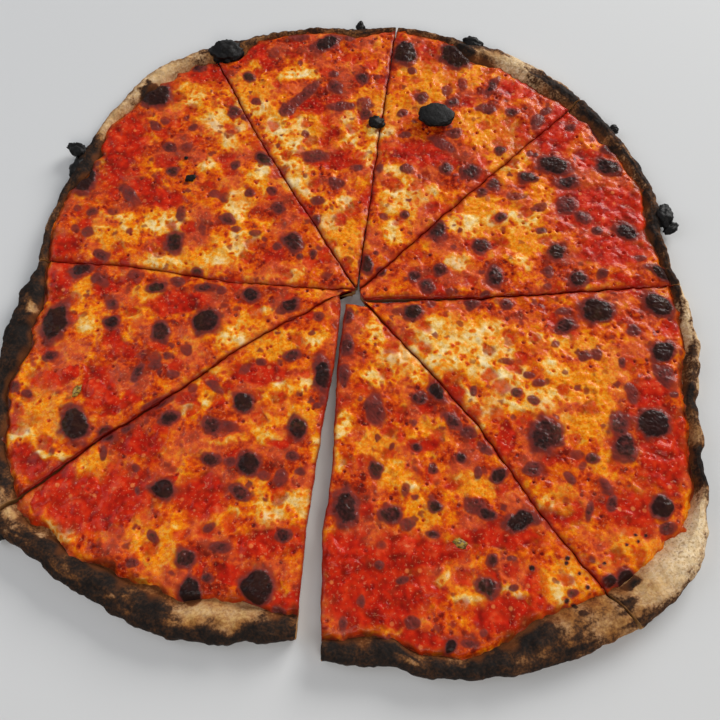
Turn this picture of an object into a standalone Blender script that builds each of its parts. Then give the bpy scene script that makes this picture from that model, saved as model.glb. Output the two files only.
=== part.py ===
"""Thin, charred tomato and cheese pizza, cut into eight slices that keep its round.

Every slice is three solids one above the other, all of which show at the cuts:
dough (crust), tomato (sauce) and melted cheese (cheese).  One burnt bubble cap
lies loose on the third slice.  Lengths are in mm; the plan was read by hand from
the photograph, with +X to its right, +Y to its top and the point where the cuts
cross as its own origin.
"""
import math

import bmesh
import bpy
from mathutils import Matrix, Vector, noise

OBJECT_NAME = "cut_pizza"
MM = 0.001
# moves the crossing of the cuts so that the middle of the whole is over the origin
CROSSING = (2.222, 1.473)

DOUGH_THICK = 4.6
SAUCE_THICK = 1.1
CHEESE_THICK = 2.1
LAYER_GAP = 0.25
# how far the flat of the dough, and with it every layer, swells and sinks
SWELL = 0.35
SWELL_LENGTH = 95.0

DOUGH_ROWS = 12
SAUCE_ROWS = 8
CHEESE_ROWS = 12
# rows of the dough that make the raised rim
RIM_ROWS = 4
# the underside and the top of the rim are drawn in from its widest line
FOOT_INSET = 2.6
CROWN_INSET = 1.1
FOOT_LIFT = 1.0
# red sauce that shows outside the cheese
SAUCE_MARGIN = 1.8

# angle in degrees, radius of the edge, width of bare rim, height of its crest
RIM = (
    (0, 190, 4.5, 8.6), (5, 187, 4.5, 8.4), (10, 188, 4, 8.2), (20, 196, 6, 8.6),
    (30, 199, 7.5, 9.0), (40, 202, 10, 9.4), (50, 204, 13.5, 9.4), (60, 205, 13, 8.8),
    (70, 203, 2.5, 7.8), (80, 204, 2.5, 7.6), (90, 200, 2.5, 7.6), (100, 203, 2.5, 7.6),
    (110, 205, 2.5, 7.8), (120, 209, 7, 8.2), (130, 211, 11, 8.6), (140, 204, 6, 8.4),
    (150, 198, 3, 8.0), (157, 194, 2.5, 7.8), (165, 192, 3, 7.8), (176, 188, 4, 8.6),
    (182, 194, 13, 9.8), (190, 201, 15, 10.4), (200, 211, 7.5, 10.0), (210, 221, 10, 10.4),
    (218, 228, 12, 10.8), (225, 221, 12, 10.8), (235, 215, 15.5, 10.8), (243, 212, 17, 11.0),
    (250, 205, 19, 10.6), (256, 198, 15, 10.2), (262, 193, 9, 9.6), (266, 201, 8.5, 9.8),
    (275, 204, 13, 10.0), (283, 214, 11.5, 10.0), (290, 220, 15, 10.4), (300, 227, 20, 11.4),
    (310, 233, 20, 12.6), (318, 233, 16.5, 12.8), (325, 221, 11.5, 11.8), (332, 209, 8.5, 10.4),
    (340, 199, 8, 9.4), (347, 198, 8, 9.0), (355, 194, 6.5, 8.6),
)

# points of each cut from the middle to the rim: x, y and the width of the gap there
CUTS = {
    "upper_left": ((0.0, -0.4, 1.2), (-62.0, 107.0, 1.0), (-99.0, 183.2, 1.6)),
    "top": ((1.8, 0.9, 1.2), (16.5, 117.0, 0.9), (27.8, 198.1, 1.4)),
    "upper_right": ((3.2, -1.4, 1.4), (75.0, 69.0, 1.0), (148.2, 138.2, 1.2)),
    "right": ((5.0, -9.0, 2.4), (17.0, -8.8, 4.0), (40.0, -8.1, 2.8), (72.0, -7.5, 2.0),
              (188.0, 1.0, 1.2)),
    "lower_right": ((8.5, -13.0, 1.4), (29.0, -38.0, 1.6), (63.0, -79.0, 1.4),
                    (100.0, -138.0, 1.2), (137.6, -185.5, 1.8)),
    "gap": ((-6.5, -11.2, 3.3), (-8.1, -27.0, 2.6), (-10.4, -48.0, 2.5),
            (-13.2, -74.5, 6.1), (-16.0, -108.0, 9.1), (-20.2, -139.0, 9.6),
            (-21.1, -165.0, 10.8), (-21.4, -190.0, 13.5)),
    "lower_left": ((-9.0, -4.4, 1.2), (-62.0, -37.0, 1.2), (-97.0, -64.5, 1.8),
                   (-136.0, -92.0, 2.0), (-183.0, -131.0, 3.0)),
    "left": ((-1.0, -2.6, 1.2), (-47.0, 1.0, 1.0), (-77.0, 3.4, 1.0),
             (-105.0, 9.0, 1.2), (-141.0, 14.2, 1.0), (-186.0, 17.4, 1.4)),
}

# each slice: its cut on the clockwise side, on the other side, and its point
SLICES = (
    ("upper_left", "left", (0.4, -1.4)),
    ("top", "upper_left", (0.3, 1.1)),
    ("upper_right", "top", (3.4, 0.8)),
    ("right", "upper_right", (3.0, -4.6)),
    ("lower_right", "right", (12.3, -13.6)),
    ("gap", "lower_right", (2.0, -12.6)),
    ("lower_left", "gap", (-8.8, -6.2)),
    ("left", "lower_left", (-9.9, -3.2)),
)

# where the photograph was taken from, found from the round's own outline: focal
# length in pixels, degrees below the level, height, and the foot of the camera
FOCAL_PX = 706.0
LOOK_DOWN = math.radians(68.0)
CAMERA_HEIGHT = 371.0
CAMERA_FOOT = (3.0, -193.0)
PICTURE_MIDDLE = 360.0
TOPPING_LEVEL = 8.5

# burnt blisters big enough to stand up from the cheese, read off the photograph:
# x and y in pixels, length and width in pixels, turn of the length in degrees
BLISTERS = (
    (155, 94, 34, 27, 0), (83, 177, 38, 28, 80), (174, 243, 24, 19, 80), (157, 287, 21, 12, 0),
    (82, 269, 26, 15, 20), (112, 322, 20, 14, 20), (55, 323, 44, 26, 70), (206, 321, 30, 26, 0),
    (160, 332, 22, 20, 90), (75, 425, 38, 30, 100), (158, 403, 34, 11, 22), (168, 418, 22, 16, 30),
    (107, 434, 20, 17, 0), (163, 488, 28, 24, 0), (243, 403, 23, 22, 0), (213, 426, 24, 16, -20),
    (298, 427, 26, 23, 90), (249, 462, 27, 25, 90), (211, 460, 20, 15, 0), (322, 376, 46, 18, 95),
    (346, 510, 42, 27, 100), (437, 391, 27, 16, -55), (375, 410, 32, 18, -80), (453, 421, 26, 15, -40),
    (376, 469, 16, 15, 90), (498, 475, 17, 16, 0), (391, 515, 24, 23, 0), (487, 514, 22, 13, -15),
    (520, 521, 36, 20, 15), (546, 435, 38, 34, 60), (534, 468, 19, 15, 0), (653, 422, 38, 30, 0),
    (624, 446, 32, 25, 85), (664, 374, 24, 17, -50), (663, 507, 25, 24, 0), (567, 182, 26, 13, 0),
    (573, 210, 30, 18, -35), (627, 231, 27, 17, -35), (557, 252, 23, 18, 25), (578, 279, 19, 18, 0),
    (663, 273, 38, 12, -25), (596, 311, 38, 26, 0), (566, 325, 22, 16, 15), (659, 305, 40, 22, -25),
    (663, 351, 26, 22, 0), (554, 165, 36, 20, -10), (608, 166, 27, 18, -25), (405, 54, 24, 24, 0),
    (458, 54, 36, 28, 0), (446, 168, 16, 13, 0), (471, 172, 20, 17, 0), (527, 177, 19, 14, 0),
    (491, 86, 22, 9, 60), (225, 52, 28, 22, 0), (264, 159, 20, 13, -25), (327, 43, 36, 15, 25),
    (316, 156, 24, 12, 0), (287, 110, 17, 13, 38), (293, 242, 22, 20, 90), (251, 295, 18, 14, 0),
    (290, 304, 18, 16, 0), (366, 264, 22, 14, 110), (482, 245, 20, 16, 0), (437, 231, 22, 18, 90),
    (495, 277, 22, 18, 90), (414, 312, 24, 17, 0), (189, 593, 27, 25, 90), (185, 558, 23, 19, 0),
    (220, 547, 24, 14, 0), (258, 586, 38, 37, 90), (489, 587, 24, 20, -30), (347, 346, 20, 13, 90),
)
# blisters shorter than this are left to the surface of the cheese
LEAST_BLISTER_PX = 22
# height of a blister for each mm of its width, and the least and most
BLISTER_RISE = 0.17
BLISTER_LOW = 1.5
BLISTER_HIGH = 3.0

# burnt knobs that stand out of the rim, by slice: x, y, z, length, width, height and turn
KNOBS = {
    1: ((-175.0, 97.5, 5.6, 15, 9, 8, 150), (-178.0, 84.0, 5.0, 17, 9, 9, 80)),
    2: ((-86.6, 180.2, 7.0, 18, 14, 9, 15), (3.4, 202.2, 5.0, 6, 8, 8, 0)),
    3: ((79.2, 187.0, 5.6, 13, 9, 8, 160),),
    4: ((187.6, 48.5, 6.0, 15, 11, 9, 90), (190.8, 40.4, 5.0, 10, 6, 6, 35),
        (165.6, 114.0, 5.6, 7, 6, 6, 0)),
    7: ((-180.5, -139.6, 4.2, 10, 8, 7, 60),),
}

# where the topping stops short of a knob: angle, extra bare rim and half width in degrees
NOTCHES = (
    (151.0, 6.0, 4.0), (155.0, 3.5, 4.5), (116.0, 9.5, 5.0), (89.0, 3.2, 2.6),
    (67.0, 6.5, 4.0), (14.5, 3.0, 4.5), (11.5, 1.5, 2.5),
)

# the loose burnt bubble cap: middle, length, width, height, turn, and corners of its edge
CAP_MIDDLE = (51.6, 119.8)
CAP_SIZE = (24.5, 20.0, 6.4)
CAP_TURN = -6.0
CAP_CORNERS = 12

# the burnt crumb stuck to the second slice: x, y, length, width, turn and height
CRUMB = (10.2, 117.5, 10, 8, 25, 4.2)


def clear_scene():
    for thing in list(bpy.data.objects):
        bpy.data.objects.remove(thing, do_unlink=True)


def new_collection(name):
    made = bpy.data.collections.new(name)
    bpy.context.scene.collection.children.link(made)
    return made


def rim_value(angle, column):
    """Value of one column of the rim table at an angle, eased between its rows."""
    angle = angle % 360.0
    count = len(RIM)
    for i in range(count):
        low = RIM[i]
        high = RIM[(i + 1) % count]
        end = high[0] if high[0] > low[0] else high[0] + 360.0
        if low[0] <= angle <= end:
            t = (angle - low[0]) / (end - low[0])
            t = t * t * (3.0 - 2.0 * t)
            return low[column] + (high[column] - low[column]) * t
    return RIM[0][column]


def bare_rim(angle):
    """Width of the rim left bare at an angle, wider where a knob stands on it."""
    width = rim_value(angle, 2)
    for middle, depth, half in NOTCHES:
        away = abs((angle - middle + 180.0) % 360.0 - 180.0) / half
        width += depth * math.exp(-away * away)
    return width


def angle_of(x, y):
    return math.degrees(math.atan2(y, x)) % 360.0


def swell(x, y):
    return SWELL * noise.noise(Vector((x / SWELL_LENGTH, y / SWELL_LENGTH, 3.7)))


def cut_side(name, side):
    """Points of one side of a cut; side is +1 for the side the angle grows to."""
    points = CUTS[name]
    moved = []
    for i, (x, y, gap) in enumerate(points):
        before = points[max(i - 1, 0)]
        after = points[min(i + 1, len(points) - 1)]
        run = Vector((after[0] - before[0], after[1] - before[1])).normalized()
        moved.append(Vector((x - run.y * gap * 0.5 * side, y + run.x * gap * 0.5 * side)))
    return moved


def slice_edges(number):
    clockwise, other, tip = SLICES[number - 1]
    first = [Vector(tip)] + cut_side(clockwise, 1.0)
    second = [Vector(tip)] + cut_side(other, -1.0)
    return first, second


def ended_at(points, inset):
    """The same line, with its last point moved out to the rim less the inset."""
    last = points[-1]
    angle = angle_of(last.x, last.y)
    reach = rim_value(angle, 1) - inset(angle)
    return points[:-1] + [last.normalized() * reach]


def photo_to_plan(x, y, level):
    """Plan position of something seen at a pixel of the photograph, at a height."""
    right = (x - PICTURE_MIDDLE) / FOCAL_PX
    down = (y - PICTURE_MIDDLE) / FOCAL_PX
    reach = (CAMERA_HEIGHT - level) / (math.sin(LOOK_DOWN) + down * math.cos(LOOK_DOWN))
    ahead = math.cos(LOOK_DOWN) - down * math.sin(LOOK_DOWN)
    return Vector((CAMERA_FOOT[0] + reach * right, CAMERA_FOOT[1] + reach * ahead))


def inside(outline, spot):
    """True where a plan point lies inside a closed line of plan points."""
    crossings = 0
    for a, b in zip(outline, outline[1:] + outline[:1]):
        if (a.y > spot.y) != (b.y > spot.y):
            if spot.x < a.x + (b.x - a.x) * (spot.y - a.y) / (b.y - a.y):
                crossings += 1
    return crossings % 2 == 1


def cheese_outline(edges):
    steps = 24
    out = [plan_point(edges, i / steps, 0.0, cheese_inset) for i in range(steps)]
    out += [plan_point(edges, 1.0, i / steps, cheese_inset) for i in range(steps)]
    out += [plan_point(edges, 1.0 - i / steps, 1.0, cheese_inset) for i in range(steps)]
    return out


def blister_size(px, py, long, wide, turn):
    """Half length, half width and turn on the plan of an ellipse read off the photograph."""
    way = math.radians(turn)
    middle = photo_to_plan(px, py, TOPPING_LEVEL)
    ahead = photo_to_plan(px + long * 0.5 * math.cos(way), py - long * 0.5 * math.sin(way),
                          TOPPING_LEVEL) - middle
    aside = photo_to_plan(px - wide * 0.5 * math.sin(way), py - wide * 0.5 * math.cos(way),
                          TOPPING_LEVEL) - middle
    return (ahead.length, aside.length), math.degrees(math.atan2(ahead.y, ahead.x))


def fitted_blisters(edges):
    """The blisters of one slice, each nudged inwards until it clears the slice's edge."""
    outline = cheese_outline(edges)
    middle = sum(outline, Vector((0.0, 0.0))) / len(outline)
    found = []
    for px, py, long, wide, turn in BLISTERS:
        if long < LEAST_BLISTER_PX:
            continue
        spot = photo_to_plan(px, py, TOPPING_LEVEL)
        nearest = min((spot - p).length for p in outline)
        if not inside(outline, spot) and nearest > 5.0:
            continue
        half, turn = blister_size(px, py, long, wide, turn)
        spin = Matrix.Rotation(math.radians(turn), 2)
        around = [spin @ Vector((half[0] * math.cos(a), half[1] * math.sin(a)))
                  for a in (i * math.pi / 8.0 for i in range(16))]
        for _ in range(24):
            if all(inside(outline, spot + p * 1.12) for p in around):
                found.append((spot.x, spot.y, 2.0 * half[0], 2.0 * half[1], turn))
                break
            spot = spot + (middle - spot).normalized() * 0.7
    return found


def along(points, fraction):
    steps = [(b - a).length for a, b in zip(points, points[1:])]
    left = fraction * sum(steps)
    for i, step in enumerate(steps):
        if left <= step or i == len(steps) - 1:
            return points[i].lerp(points[i + 1], min(left / max(step, 1e-6), 1.0))
        left -= step
    return points[-1]


def plan_point(edges, u, v, inset):
    """Plan position for the share u from point to rim and v from edge to edge."""
    first = ended_at(edges[0], inset)
    second = ended_at(edges[1], inset)
    start = angle_of(first[-1].x, first[-1].y)
    turn = (angle_of(second[-1].x, second[-1].y) - start) % 360.0
    angle = start + turn * v
    reach = rim_value(angle, 1) - inset(angle)
    rim = Vector((math.cos(math.radians(angle)), math.sin(math.radians(angle)))) * reach
    chord = first[-1].lerp(second[-1], v)
    return along(first, u).lerp(along(second, u), v) + (rim - chord) * u


def wedge(rows, wall_rings):
    """Closed three-cornered block: x is the row, y / x the share across, z the level."""
    bm = bmesh.new()
    bmesh.ops.create_circle(bm, cap_ends=True, segments=3, radius=1.0)
    bm.verts.ensure_lookup_table()
    for vert, spot in zip(bm.verts, ((0.0, 0.0, 0.0), (1.0, 0.0, 0.0), (1.0, 1.0, 0.0))):
        vert.co = spot
    bmesh.ops.subdivide_edges(bm, edges=bm.edges[:], cuts=rows - 1, use_grid_fill=True)
    out = bmesh.ops.extrude_face_region(bm, geom=bm.faces[:], use_keep_orig=True)
    for item in out["geom"]:
        if isinstance(item, bmesh.types.BMVert):
            item.co.z = 1.0
    if wall_rings:
        walls = [e for e in bm.edges if abs(e.verts[0].co.z - e.verts[1].co.z) > 0.5]
        bmesh.ops.subdivide_edges(bm, edges=walls, cuts=wall_rings)
    return bm


def finish(bm, name, collection):
    for vert in bm.verts:
        vert.co = Vector((vert.co.x + CROSSING[0], vert.co.y + CROSSING[1], vert.co.z)) * MM
    bmesh.ops.triangulate(bm, faces=bm.faces[:])
    bmesh.ops.recalc_face_normals(bm, faces=bm.faces[:])
    mesh = bpy.data.meshes.new(name)
    bm.to_mesh(mesh)
    bm.free()
    made = bpy.data.objects.new(name, mesh)
    collection.objects.link(made)
    return made


def rim_step(row, rows):
    """Distance from the edge, as a share of the bare rim, of one of the rim's rows."""
    shares = (1.06, 0.66, 0.30, 0.0)
    return shares[row - (rows - RIM_ROWS + 1)]


def make_crust(number, collection):
    edges = slice_edges(number)
    bm = wedge(DOUGH_ROWS, 1)
    inner_rows = DOUGH_ROWS - RIM_ROWS + 1
    for vert in bm.verts:
        row = round(vert.co.x * DOUGH_ROWS)
        v = min(vert.co.y / vert.co.x, 1.0) if row else 0.5
        level = vert.co.z
        inner = row < inner_rows
        share = 1.06 if inner else rim_step(row, DOUGH_ROWS)
        draw = 0.0
        if row == DOUGH_ROWS:
            draw = FOOT_INSET if level < 0.25 else (CROWN_INSET if level > 0.75 else 0.0)

        def inset(angle, share=share, draw=draw):
            return share * bare_rim(angle) + (0.6 if share > 1.0 else 0.0) + draw

        spot = plan_point(edges, row / inner_rows if inner else 1.0, v, inset)
        angle = angle_of(spot.x, spot.y)
        crest = rim_value(angle, 3)
        flat = DOUGH_THICK + swell(spot.x, spot.y)
        ragged = noise.noise(Vector((spot.x / 13.0, spot.y / 13.0, 9.1)))
        if level > 0.75:
            rise = 0.0
            if row > inner_rows:
                rise = (0.0, 1.0, 0.94, 0.62)[row - inner_rows]
            height = flat + (crest - DOUGH_THICK + 0.9 * ragged) * rise
        elif level < 0.25:
            height = FOOT_LIFT if row == DOUGH_ROWS else 0.0
        else:
            height = 0.46 * crest if row == DOUGH_ROWS else 0.5 * flat
        vert.co = Vector((spot.x, spot.y, height))
    return finish(bm, "crust_%d" % number, collection)


def sauce_floor(x, y):
    return DOUGH_THICK + swell(x, y) + LAYER_GAP


def make_sauce(number, collection):
    edges = slice_edges(number)
    bm = wedge(SAUCE_ROWS, 0)

    def inset(angle):
        return bare_rim(angle) * 1.06 + 2.2

    for vert in bm.verts:
        u = vert.co.x
        v = min(vert.co.y / u, 1.0) if u > 0.001 else 0.5
        spot = plan_point(edges, u, v, inset)
        top = SAUCE_THICK if vert.co.z > 0.5 else 0.0
        vert.co = Vector((spot.x, spot.y, sauce_floor(spot.x, spot.y) + top))
    return finish(bm, "sauce_%d" % number, collection)


def cheese_top(x, y, from_edge):
    bump = 0.55 * noise.noise(Vector((x / 21.0, y / 21.0, 1.3)))
    fade = min(max(from_edge / 9.0, 0.0), 1.0)
    thick = 0.9 + (CHEESE_THICK - 0.9 + bump) * fade
    return sauce_floor(x, y) + SAUCE_THICK + LAYER_GAP + thick


def cheese_inset(angle):
    return bare_rim(angle) * 1.06 + 2.2 + SAUCE_MARGIN


def make_cheese(number, collection, tools):
    edges = slice_edges(number)
    bm = wedge(CHEESE_ROWS, 0)
    for vert in bm.verts:
        u = vert.co.x
        v = min(vert.co.y / u, 1.0) if u > 0.001 else 0.5
        spot = plan_point(edges, u, v, cheese_inset)
        if vert.co.z > 0.5:
            angle = angle_of(spot.x, spot.y)
            from_edge = rim_value(angle, 1) - cheese_inset(angle) - spot.length
            height = cheese_top(spot.x, spot.y, from_edge)
        else:
            height = sauce_floor(spot.x, spot.y) + SAUCE_THICK + LAYER_GAP
        vert.co = Vector((spot.x, spot.y, height))
    made = finish(bm, "cheese_%d" % number, collection)
    for x, y, long, wide, turn in fitted_blisters(edges):
        high = min(max(BLISTER_RISE * wide, BLISTER_LOW), BLISTER_HIGH)
        top = cheese_top(x, y, 99.0)
        size = (long, wide, 2.0 * (high + 0.8))
        add_lump(tools, (x, y, top - 0.8), size, turn, top - 1.1)
    if number == 2:
        x, y, long, wide, turn, high = CRUMB
        top = cheese_top(x, y, 99.0)
        add_lump(tools, (x, y, top), (long, wide, 2.0 * high), turn, top - 0.9)
    fuse(made, tools)
    return made


def add_lump(tools, middle, size, turn, floor=0.0):
    """One rounded lump with a flat foot at the floor, ready to be fused to a solid."""
    bm = bmesh.new()
    bmesh.ops.create_uvsphere(bm, u_segments=9, v_segments=5, radius=0.5)
    bmesh.ops.scale(bm, vec=Vector(size), verts=bm.verts[:])
    spin = Matrix.Rotation(math.radians(turn), 3, "Z")
    bmesh.ops.rotate(bm, cent=Vector(), matrix=spin, verts=bm.verts[:])
    for vert in bm.verts:
        rough = noise.noise(vert.co * 0.35 + Vector(middle) * 0.21)
        vert.co *= 1.0 + 0.16 * rough
    bmesh.ops.translate(bm, vec=Vector(middle), verts=bm.verts[:])
    for vert in bm.verts:
        vert.co.z = max(vert.co.z, floor)
    return finish(bm, "lump", tools)


def fuse(made, tools):
    """Join every object of the tools collection to the solid, then remove them."""
    if not tools.objects:
        return
    join = made.modifiers.new("join", "BOOLEAN")
    join.operation = "UNION"
    join.operand_type = "COLLECTION"
    join.collection = tools
    join.solver = "MANIFOLD"
    graph = bpy.context.evaluated_depsgraph_get()
    mesh = bpy.data.meshes.new_from_object(made.evaluated_get(graph))
    made.modifiers.remove(join)
    mesh.name = made.name
    made.data = mesh
    for thing in list(tools.objects):
        bpy.data.objects.remove(thing, do_unlink=True)


def add_knobs(made, number, tools):
    for x, y, z, long, wide, high, turn in KNOBS.get(number, ()):
        add_lump(tools, (x, y, z), (long, wide, high), turn)
    fuse(made, tools)


def make_cap(collection):
    """Rounded burnt cap that lies on the third slice."""
    bm = bmesh.new()
    bmesh.ops.create_circle(bm, cap_ends=True, segments=CAP_CORNERS, radius=0.5)
    floor = cheese_top(CAP_MIDDLE[0], CAP_MIDDLE[1], 99.0) + 0.5
    levels = ((0.80, 0.0), (1.0, 0.30), (0.97, 0.62), (0.72, 0.92))
    ring = bm.faces[:]
    spots = {vert: (vert.co.x, vert.co.y, 0) for vert in bm.verts}
    for level in range(1, len(levels)):
        below = [face for face in ring if level > 1]
        out = bmesh.ops.extrude_face_region(bm, geom=ring, use_keep_orig=True)
        ring = [g for g in out["geom"] if isinstance(g, bmesh.types.BMFace)]
        bmesh.ops.delete(bm, geom=below, context="FACES_ONLY")
        for vert in {v for face in ring for v in face.verts}:
            spots[vert] = (vert.co.x, vert.co.y, level)
    out = bmesh.ops.poke(bm, faces=ring)
    peak = out["verts"][0]
    spin = Matrix.Rotation(math.radians(CAP_TURN), 2)
    for vert, (x, y, level) in spots.items():
        wide, high = levels[level]
        bearing = math.atan2(y, x)
        odd = 1.0 + 0.05 * math.cos(2.0 * bearing + 0.6) + 0.04 * math.cos(4.0 * bearing)
        spot = spin @ Vector((x * CAP_SIZE[0], y * CAP_SIZE[1])) * (wide * odd)
        vert.co = Vector((spot.x, spot.y, high * CAP_SIZE[2]))
    peak.co = Vector((0.0, 0.0, CAP_SIZE[2]))
    bmesh.ops.translate(bm, vec=Vector((*CAP_MIDDLE, floor)), verts=bm.verts[:])
    return finish(bm, "burnt_cap", collection)


clear_scene()
parts = new_collection(OBJECT_NAME)
tools = new_collection("lumps_to_fuse")
for number in range(1, len(SLICES) + 1):
    crust = make_crust(number, parts)
    add_knobs(crust, number, tools)
    make_sauce(number, parts)
    make_cheese(number, parts, tools)
make_cap(parts)
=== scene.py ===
"""Looks of a thin, charred tomato and cheese pizza, cut into eight slices.

Every slice is dressed in three pieces that stand for its three solids: the dough with
its rim, the tomato that shows at the cuts and round the edge, and the melted cheese
with its blisters. The plan was read from the photograph, in mm, with the
point where the cuts cross as its own origin, exactly as in the solids.
"""
import math

import bmesh
import bpy
import numpy as np
from mathutils import Euler, Matrix, Vector, noise

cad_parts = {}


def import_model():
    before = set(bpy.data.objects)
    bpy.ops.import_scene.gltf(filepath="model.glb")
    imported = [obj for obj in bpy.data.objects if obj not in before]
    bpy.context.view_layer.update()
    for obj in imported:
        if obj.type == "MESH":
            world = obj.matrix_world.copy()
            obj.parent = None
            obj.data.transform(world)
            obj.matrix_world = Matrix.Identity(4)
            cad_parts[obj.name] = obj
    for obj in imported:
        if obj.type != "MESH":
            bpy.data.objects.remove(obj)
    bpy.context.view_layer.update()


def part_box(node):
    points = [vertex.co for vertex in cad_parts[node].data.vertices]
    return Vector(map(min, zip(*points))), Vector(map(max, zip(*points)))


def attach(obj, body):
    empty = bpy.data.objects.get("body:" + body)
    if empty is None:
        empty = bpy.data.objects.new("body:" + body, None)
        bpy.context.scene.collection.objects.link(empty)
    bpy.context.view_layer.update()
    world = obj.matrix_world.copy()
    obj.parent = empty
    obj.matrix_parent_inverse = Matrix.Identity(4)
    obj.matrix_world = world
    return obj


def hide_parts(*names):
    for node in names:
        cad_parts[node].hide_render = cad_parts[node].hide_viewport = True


MM = 0.001
# where the point that the cuts run to lies in the frame, in mm
CROSSING = (2.222, 1.473)
# mean radius of the round and mean length of a slice's topping, in mm
ROUND_RADIUS = 205.0
TOPPING_LENGTH = 195.0

# rows of triangles from the point of a slice to its rim
CHEESE_ROWS = 330
SAUCE_ROWS = 90
DOUGH_ROWS = 200
# rows of the dough that lie under the topping, where nothing shows
HIDDEN_DOUGH_ROWS = 150
# rows of points in each flat strip of the underside
STRIP_ROWS = 5

# heights of the layers, in mm
DOUGH_TOP = 4.6
SAUCE_FOOT = 4.3
SAUCE_TOP = 6.0
CHEESE_FOOT = 5.9
CHEESE_TOP = 8.2

# the dough starts to rise this far inside the bare rim, the topping ends this far outside it
RISE_MARGIN = 2.6
TOPPING_MARGIN = 0.7
# the sauce ends this far inside the cheese
SAUCE_MARGIN = 4.2

# angle in degrees, radius of the edge, width of bare rim, height of its crest
REACH = 1
BARE = 2
CREST = 3
RIM = (
    (0, 190, 4.5, 8.6), (5, 187, 4.5, 8.4), (10, 188, 4, 8.2), (20, 196, 6, 8.6),
    (30, 199, 7.5, 9.0), (40, 202, 10, 9.4), (50, 204, 13.5, 9.4), (60, 205, 13, 8.8),
    (70, 203, 2.5, 7.8), (80, 204, 2.5, 7.6), (90, 200, 2.5, 7.6), (100, 203, 2.5, 7.6),
    (110, 205, 2.5, 7.8), (120, 209, 7, 8.2), (130, 211, 11, 8.6), (140, 204, 6, 8.4),
    (150, 198, 3, 8.0), (157, 194, 2.5, 7.8), (165, 192, 3, 7.8), (176, 188, 4, 8.6),
    (182, 194, 13, 9.8), (190, 201, 15, 10.4), (200, 211, 7.5, 10.0), (210, 221, 10, 10.4),
    (218, 228, 12, 10.8), (225, 221, 12, 10.8), (235, 215, 15.5, 10.8), (243, 212, 17, 11.0),
    (250, 205, 19, 10.6), (256, 198, 15, 10.2), (262, 193, 9, 9.6), (266, 201, 8.5, 9.8),
    (275, 204, 13, 10.0), (280, 211, 9, 10.0), (286, 216.5, 8.5, 10.2), (291, 220.5, 13, 10.5),
    (295, 223.5, 20, 11.0), (300, 227, 21.5, 11.4), (310, 233, 18.5, 12.6), (314, 234, 19.5, 12.8),
    (318, 233, 16, 12.8), (321, 229, 11, 12.2), (325, 221, 5.5, 11.6), (332, 209, 5.5, 10.4),
    (340, 199, 7, 9.4), (347, 198, 7, 9.0), (355, 194, 6, 8.6),
)

# the rim's outer side, from its foot at level 0 to its edge at level 1: how far it stands
# in from the widest outline, in mm, and the share of the height there
WALL_LEVELS = (0.0, 0.12, 0.35, 0.7, 1.0)
WALL_INSETS = (3.4, 1.3, 0.0, 0.2, 1.0)
WALL_RISES = (0.0, 0.06, 0.34, 0.72, 1.0)

# the rim's own shape: shares from the topping to the outer edge, and shares of the crest
RIM_SHARES = (0.0, 0.10, 0.24, 0.42, 0.62, 0.80, 0.92, 1.0)
RIM_RISES = (0.0, 0.10, 0.55, 0.92, 1.00, 0.93, 0.78, 0.60)

# where the topping stops short of burnt dough: angle, extra bare rim, half width in degrees
NOTCHES = (
    (151.0, 6.0, 4.0), (155.0, 3.5, 4.5), (116.0, 9.5, 5.0), (89.0, 3.2, 2.6),
    (67.0, 6.5, 4.0), (14.5, 3.0, 4.5), (11.5, 1.5, 2.5),
)

# colour of the baked rim: angle, share burnt outside, share burnt inside, share floury
BURNT_OUTSIDE = 1
BURNT_INSIDE = 2
FLOURY = 3
RIM_TONE = (
    (0, 0.20, 0.75, 0.70), (8, 0.55, 0.85, 0.30), (14, 0.90, 0.90, 0.00),
    (22, 0.60, 0.75, 0.30), (32, 0.65, 0.70, 0.25), (42, 0.65, 0.74, 0.15),
    (50, 0.35, 0.75, 0.50), (57, 0.20, 0.30, 0.80), (63, 0.80, 0.80, 0.20),
    (75, 0.75, 0.60, 0.15), (115, 0.80, 0.60, 0.10), (121, 0.50, 0.40, 0.30),
    (128, 0.45, 0.30, 0.42), (136, 0.50, 0.36, 0.38), (145, 0.55, 0.50, 0.30),
    (150, 0.95, 0.95, 0.00), (160, 0.95, 0.90, 0.00), (168, 0.50, 0.65, 0.40),
    (174, 0.95, 0.80, 0.05), (180, 1.10, 1.05, 0.00), (184, 1.10, 0.75, 0.25),
    (188, 1.10, 0.95, 0.00), (194, 1.10, 1.05, 0.00), (208, 1.10, 0.85, 0.00),
    (214, 0.95, 0.60, 0.20), (220, 1.00, 0.62, 0.20), (226, 1.05, 0.62, 0.06),
    (232, 1.05, 0.72, 0.04), (237, 1.05, 0.66, 0.04), (241, 1.05, 0.72, 0.04),
    (246, 1.10, 0.36, 0.10), (252, 1.10, 0.26, 0.16), (257, 1.05, 0.62, 0.12),
    (261, 1.05, 0.80, 0.00), (266, 1.05, 0.70, 0.10), (272, 1.05, 0.85, 0.05),
    (279, 1.00, 0.72, 0.10), (285, 1.02, 0.72, 0.10), (291, 1.00, 0.78, 0.10),
    (296, 0.98, 0.80, 0.10), (300, 0.66, 0.44, 0.08), (304, 0.60, 0.38, 0.08),
    (307, 0.60, 0.40, 0.10), (311, 0.58, 0.30, 0.34), (317, 0.50, 0.04, 1.00),
    (322, 0.42, 0.06, 1.00), (325, 0.50, 0.30, 0.60), (328, 1.00, 0.90, 0.00),
    (331, 1.00, 0.80, 0.00), (334.5, 0.45, 0.50, 0.20), (338, 0.85, 0.80, 0.00),
    (342, 0.35, 0.75, 0.40), (347, 0.25, 0.80, 0.50), (351, 0.22, 0.75, 0.65),
    (356, 0.15, 0.70, 0.85),
)

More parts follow.
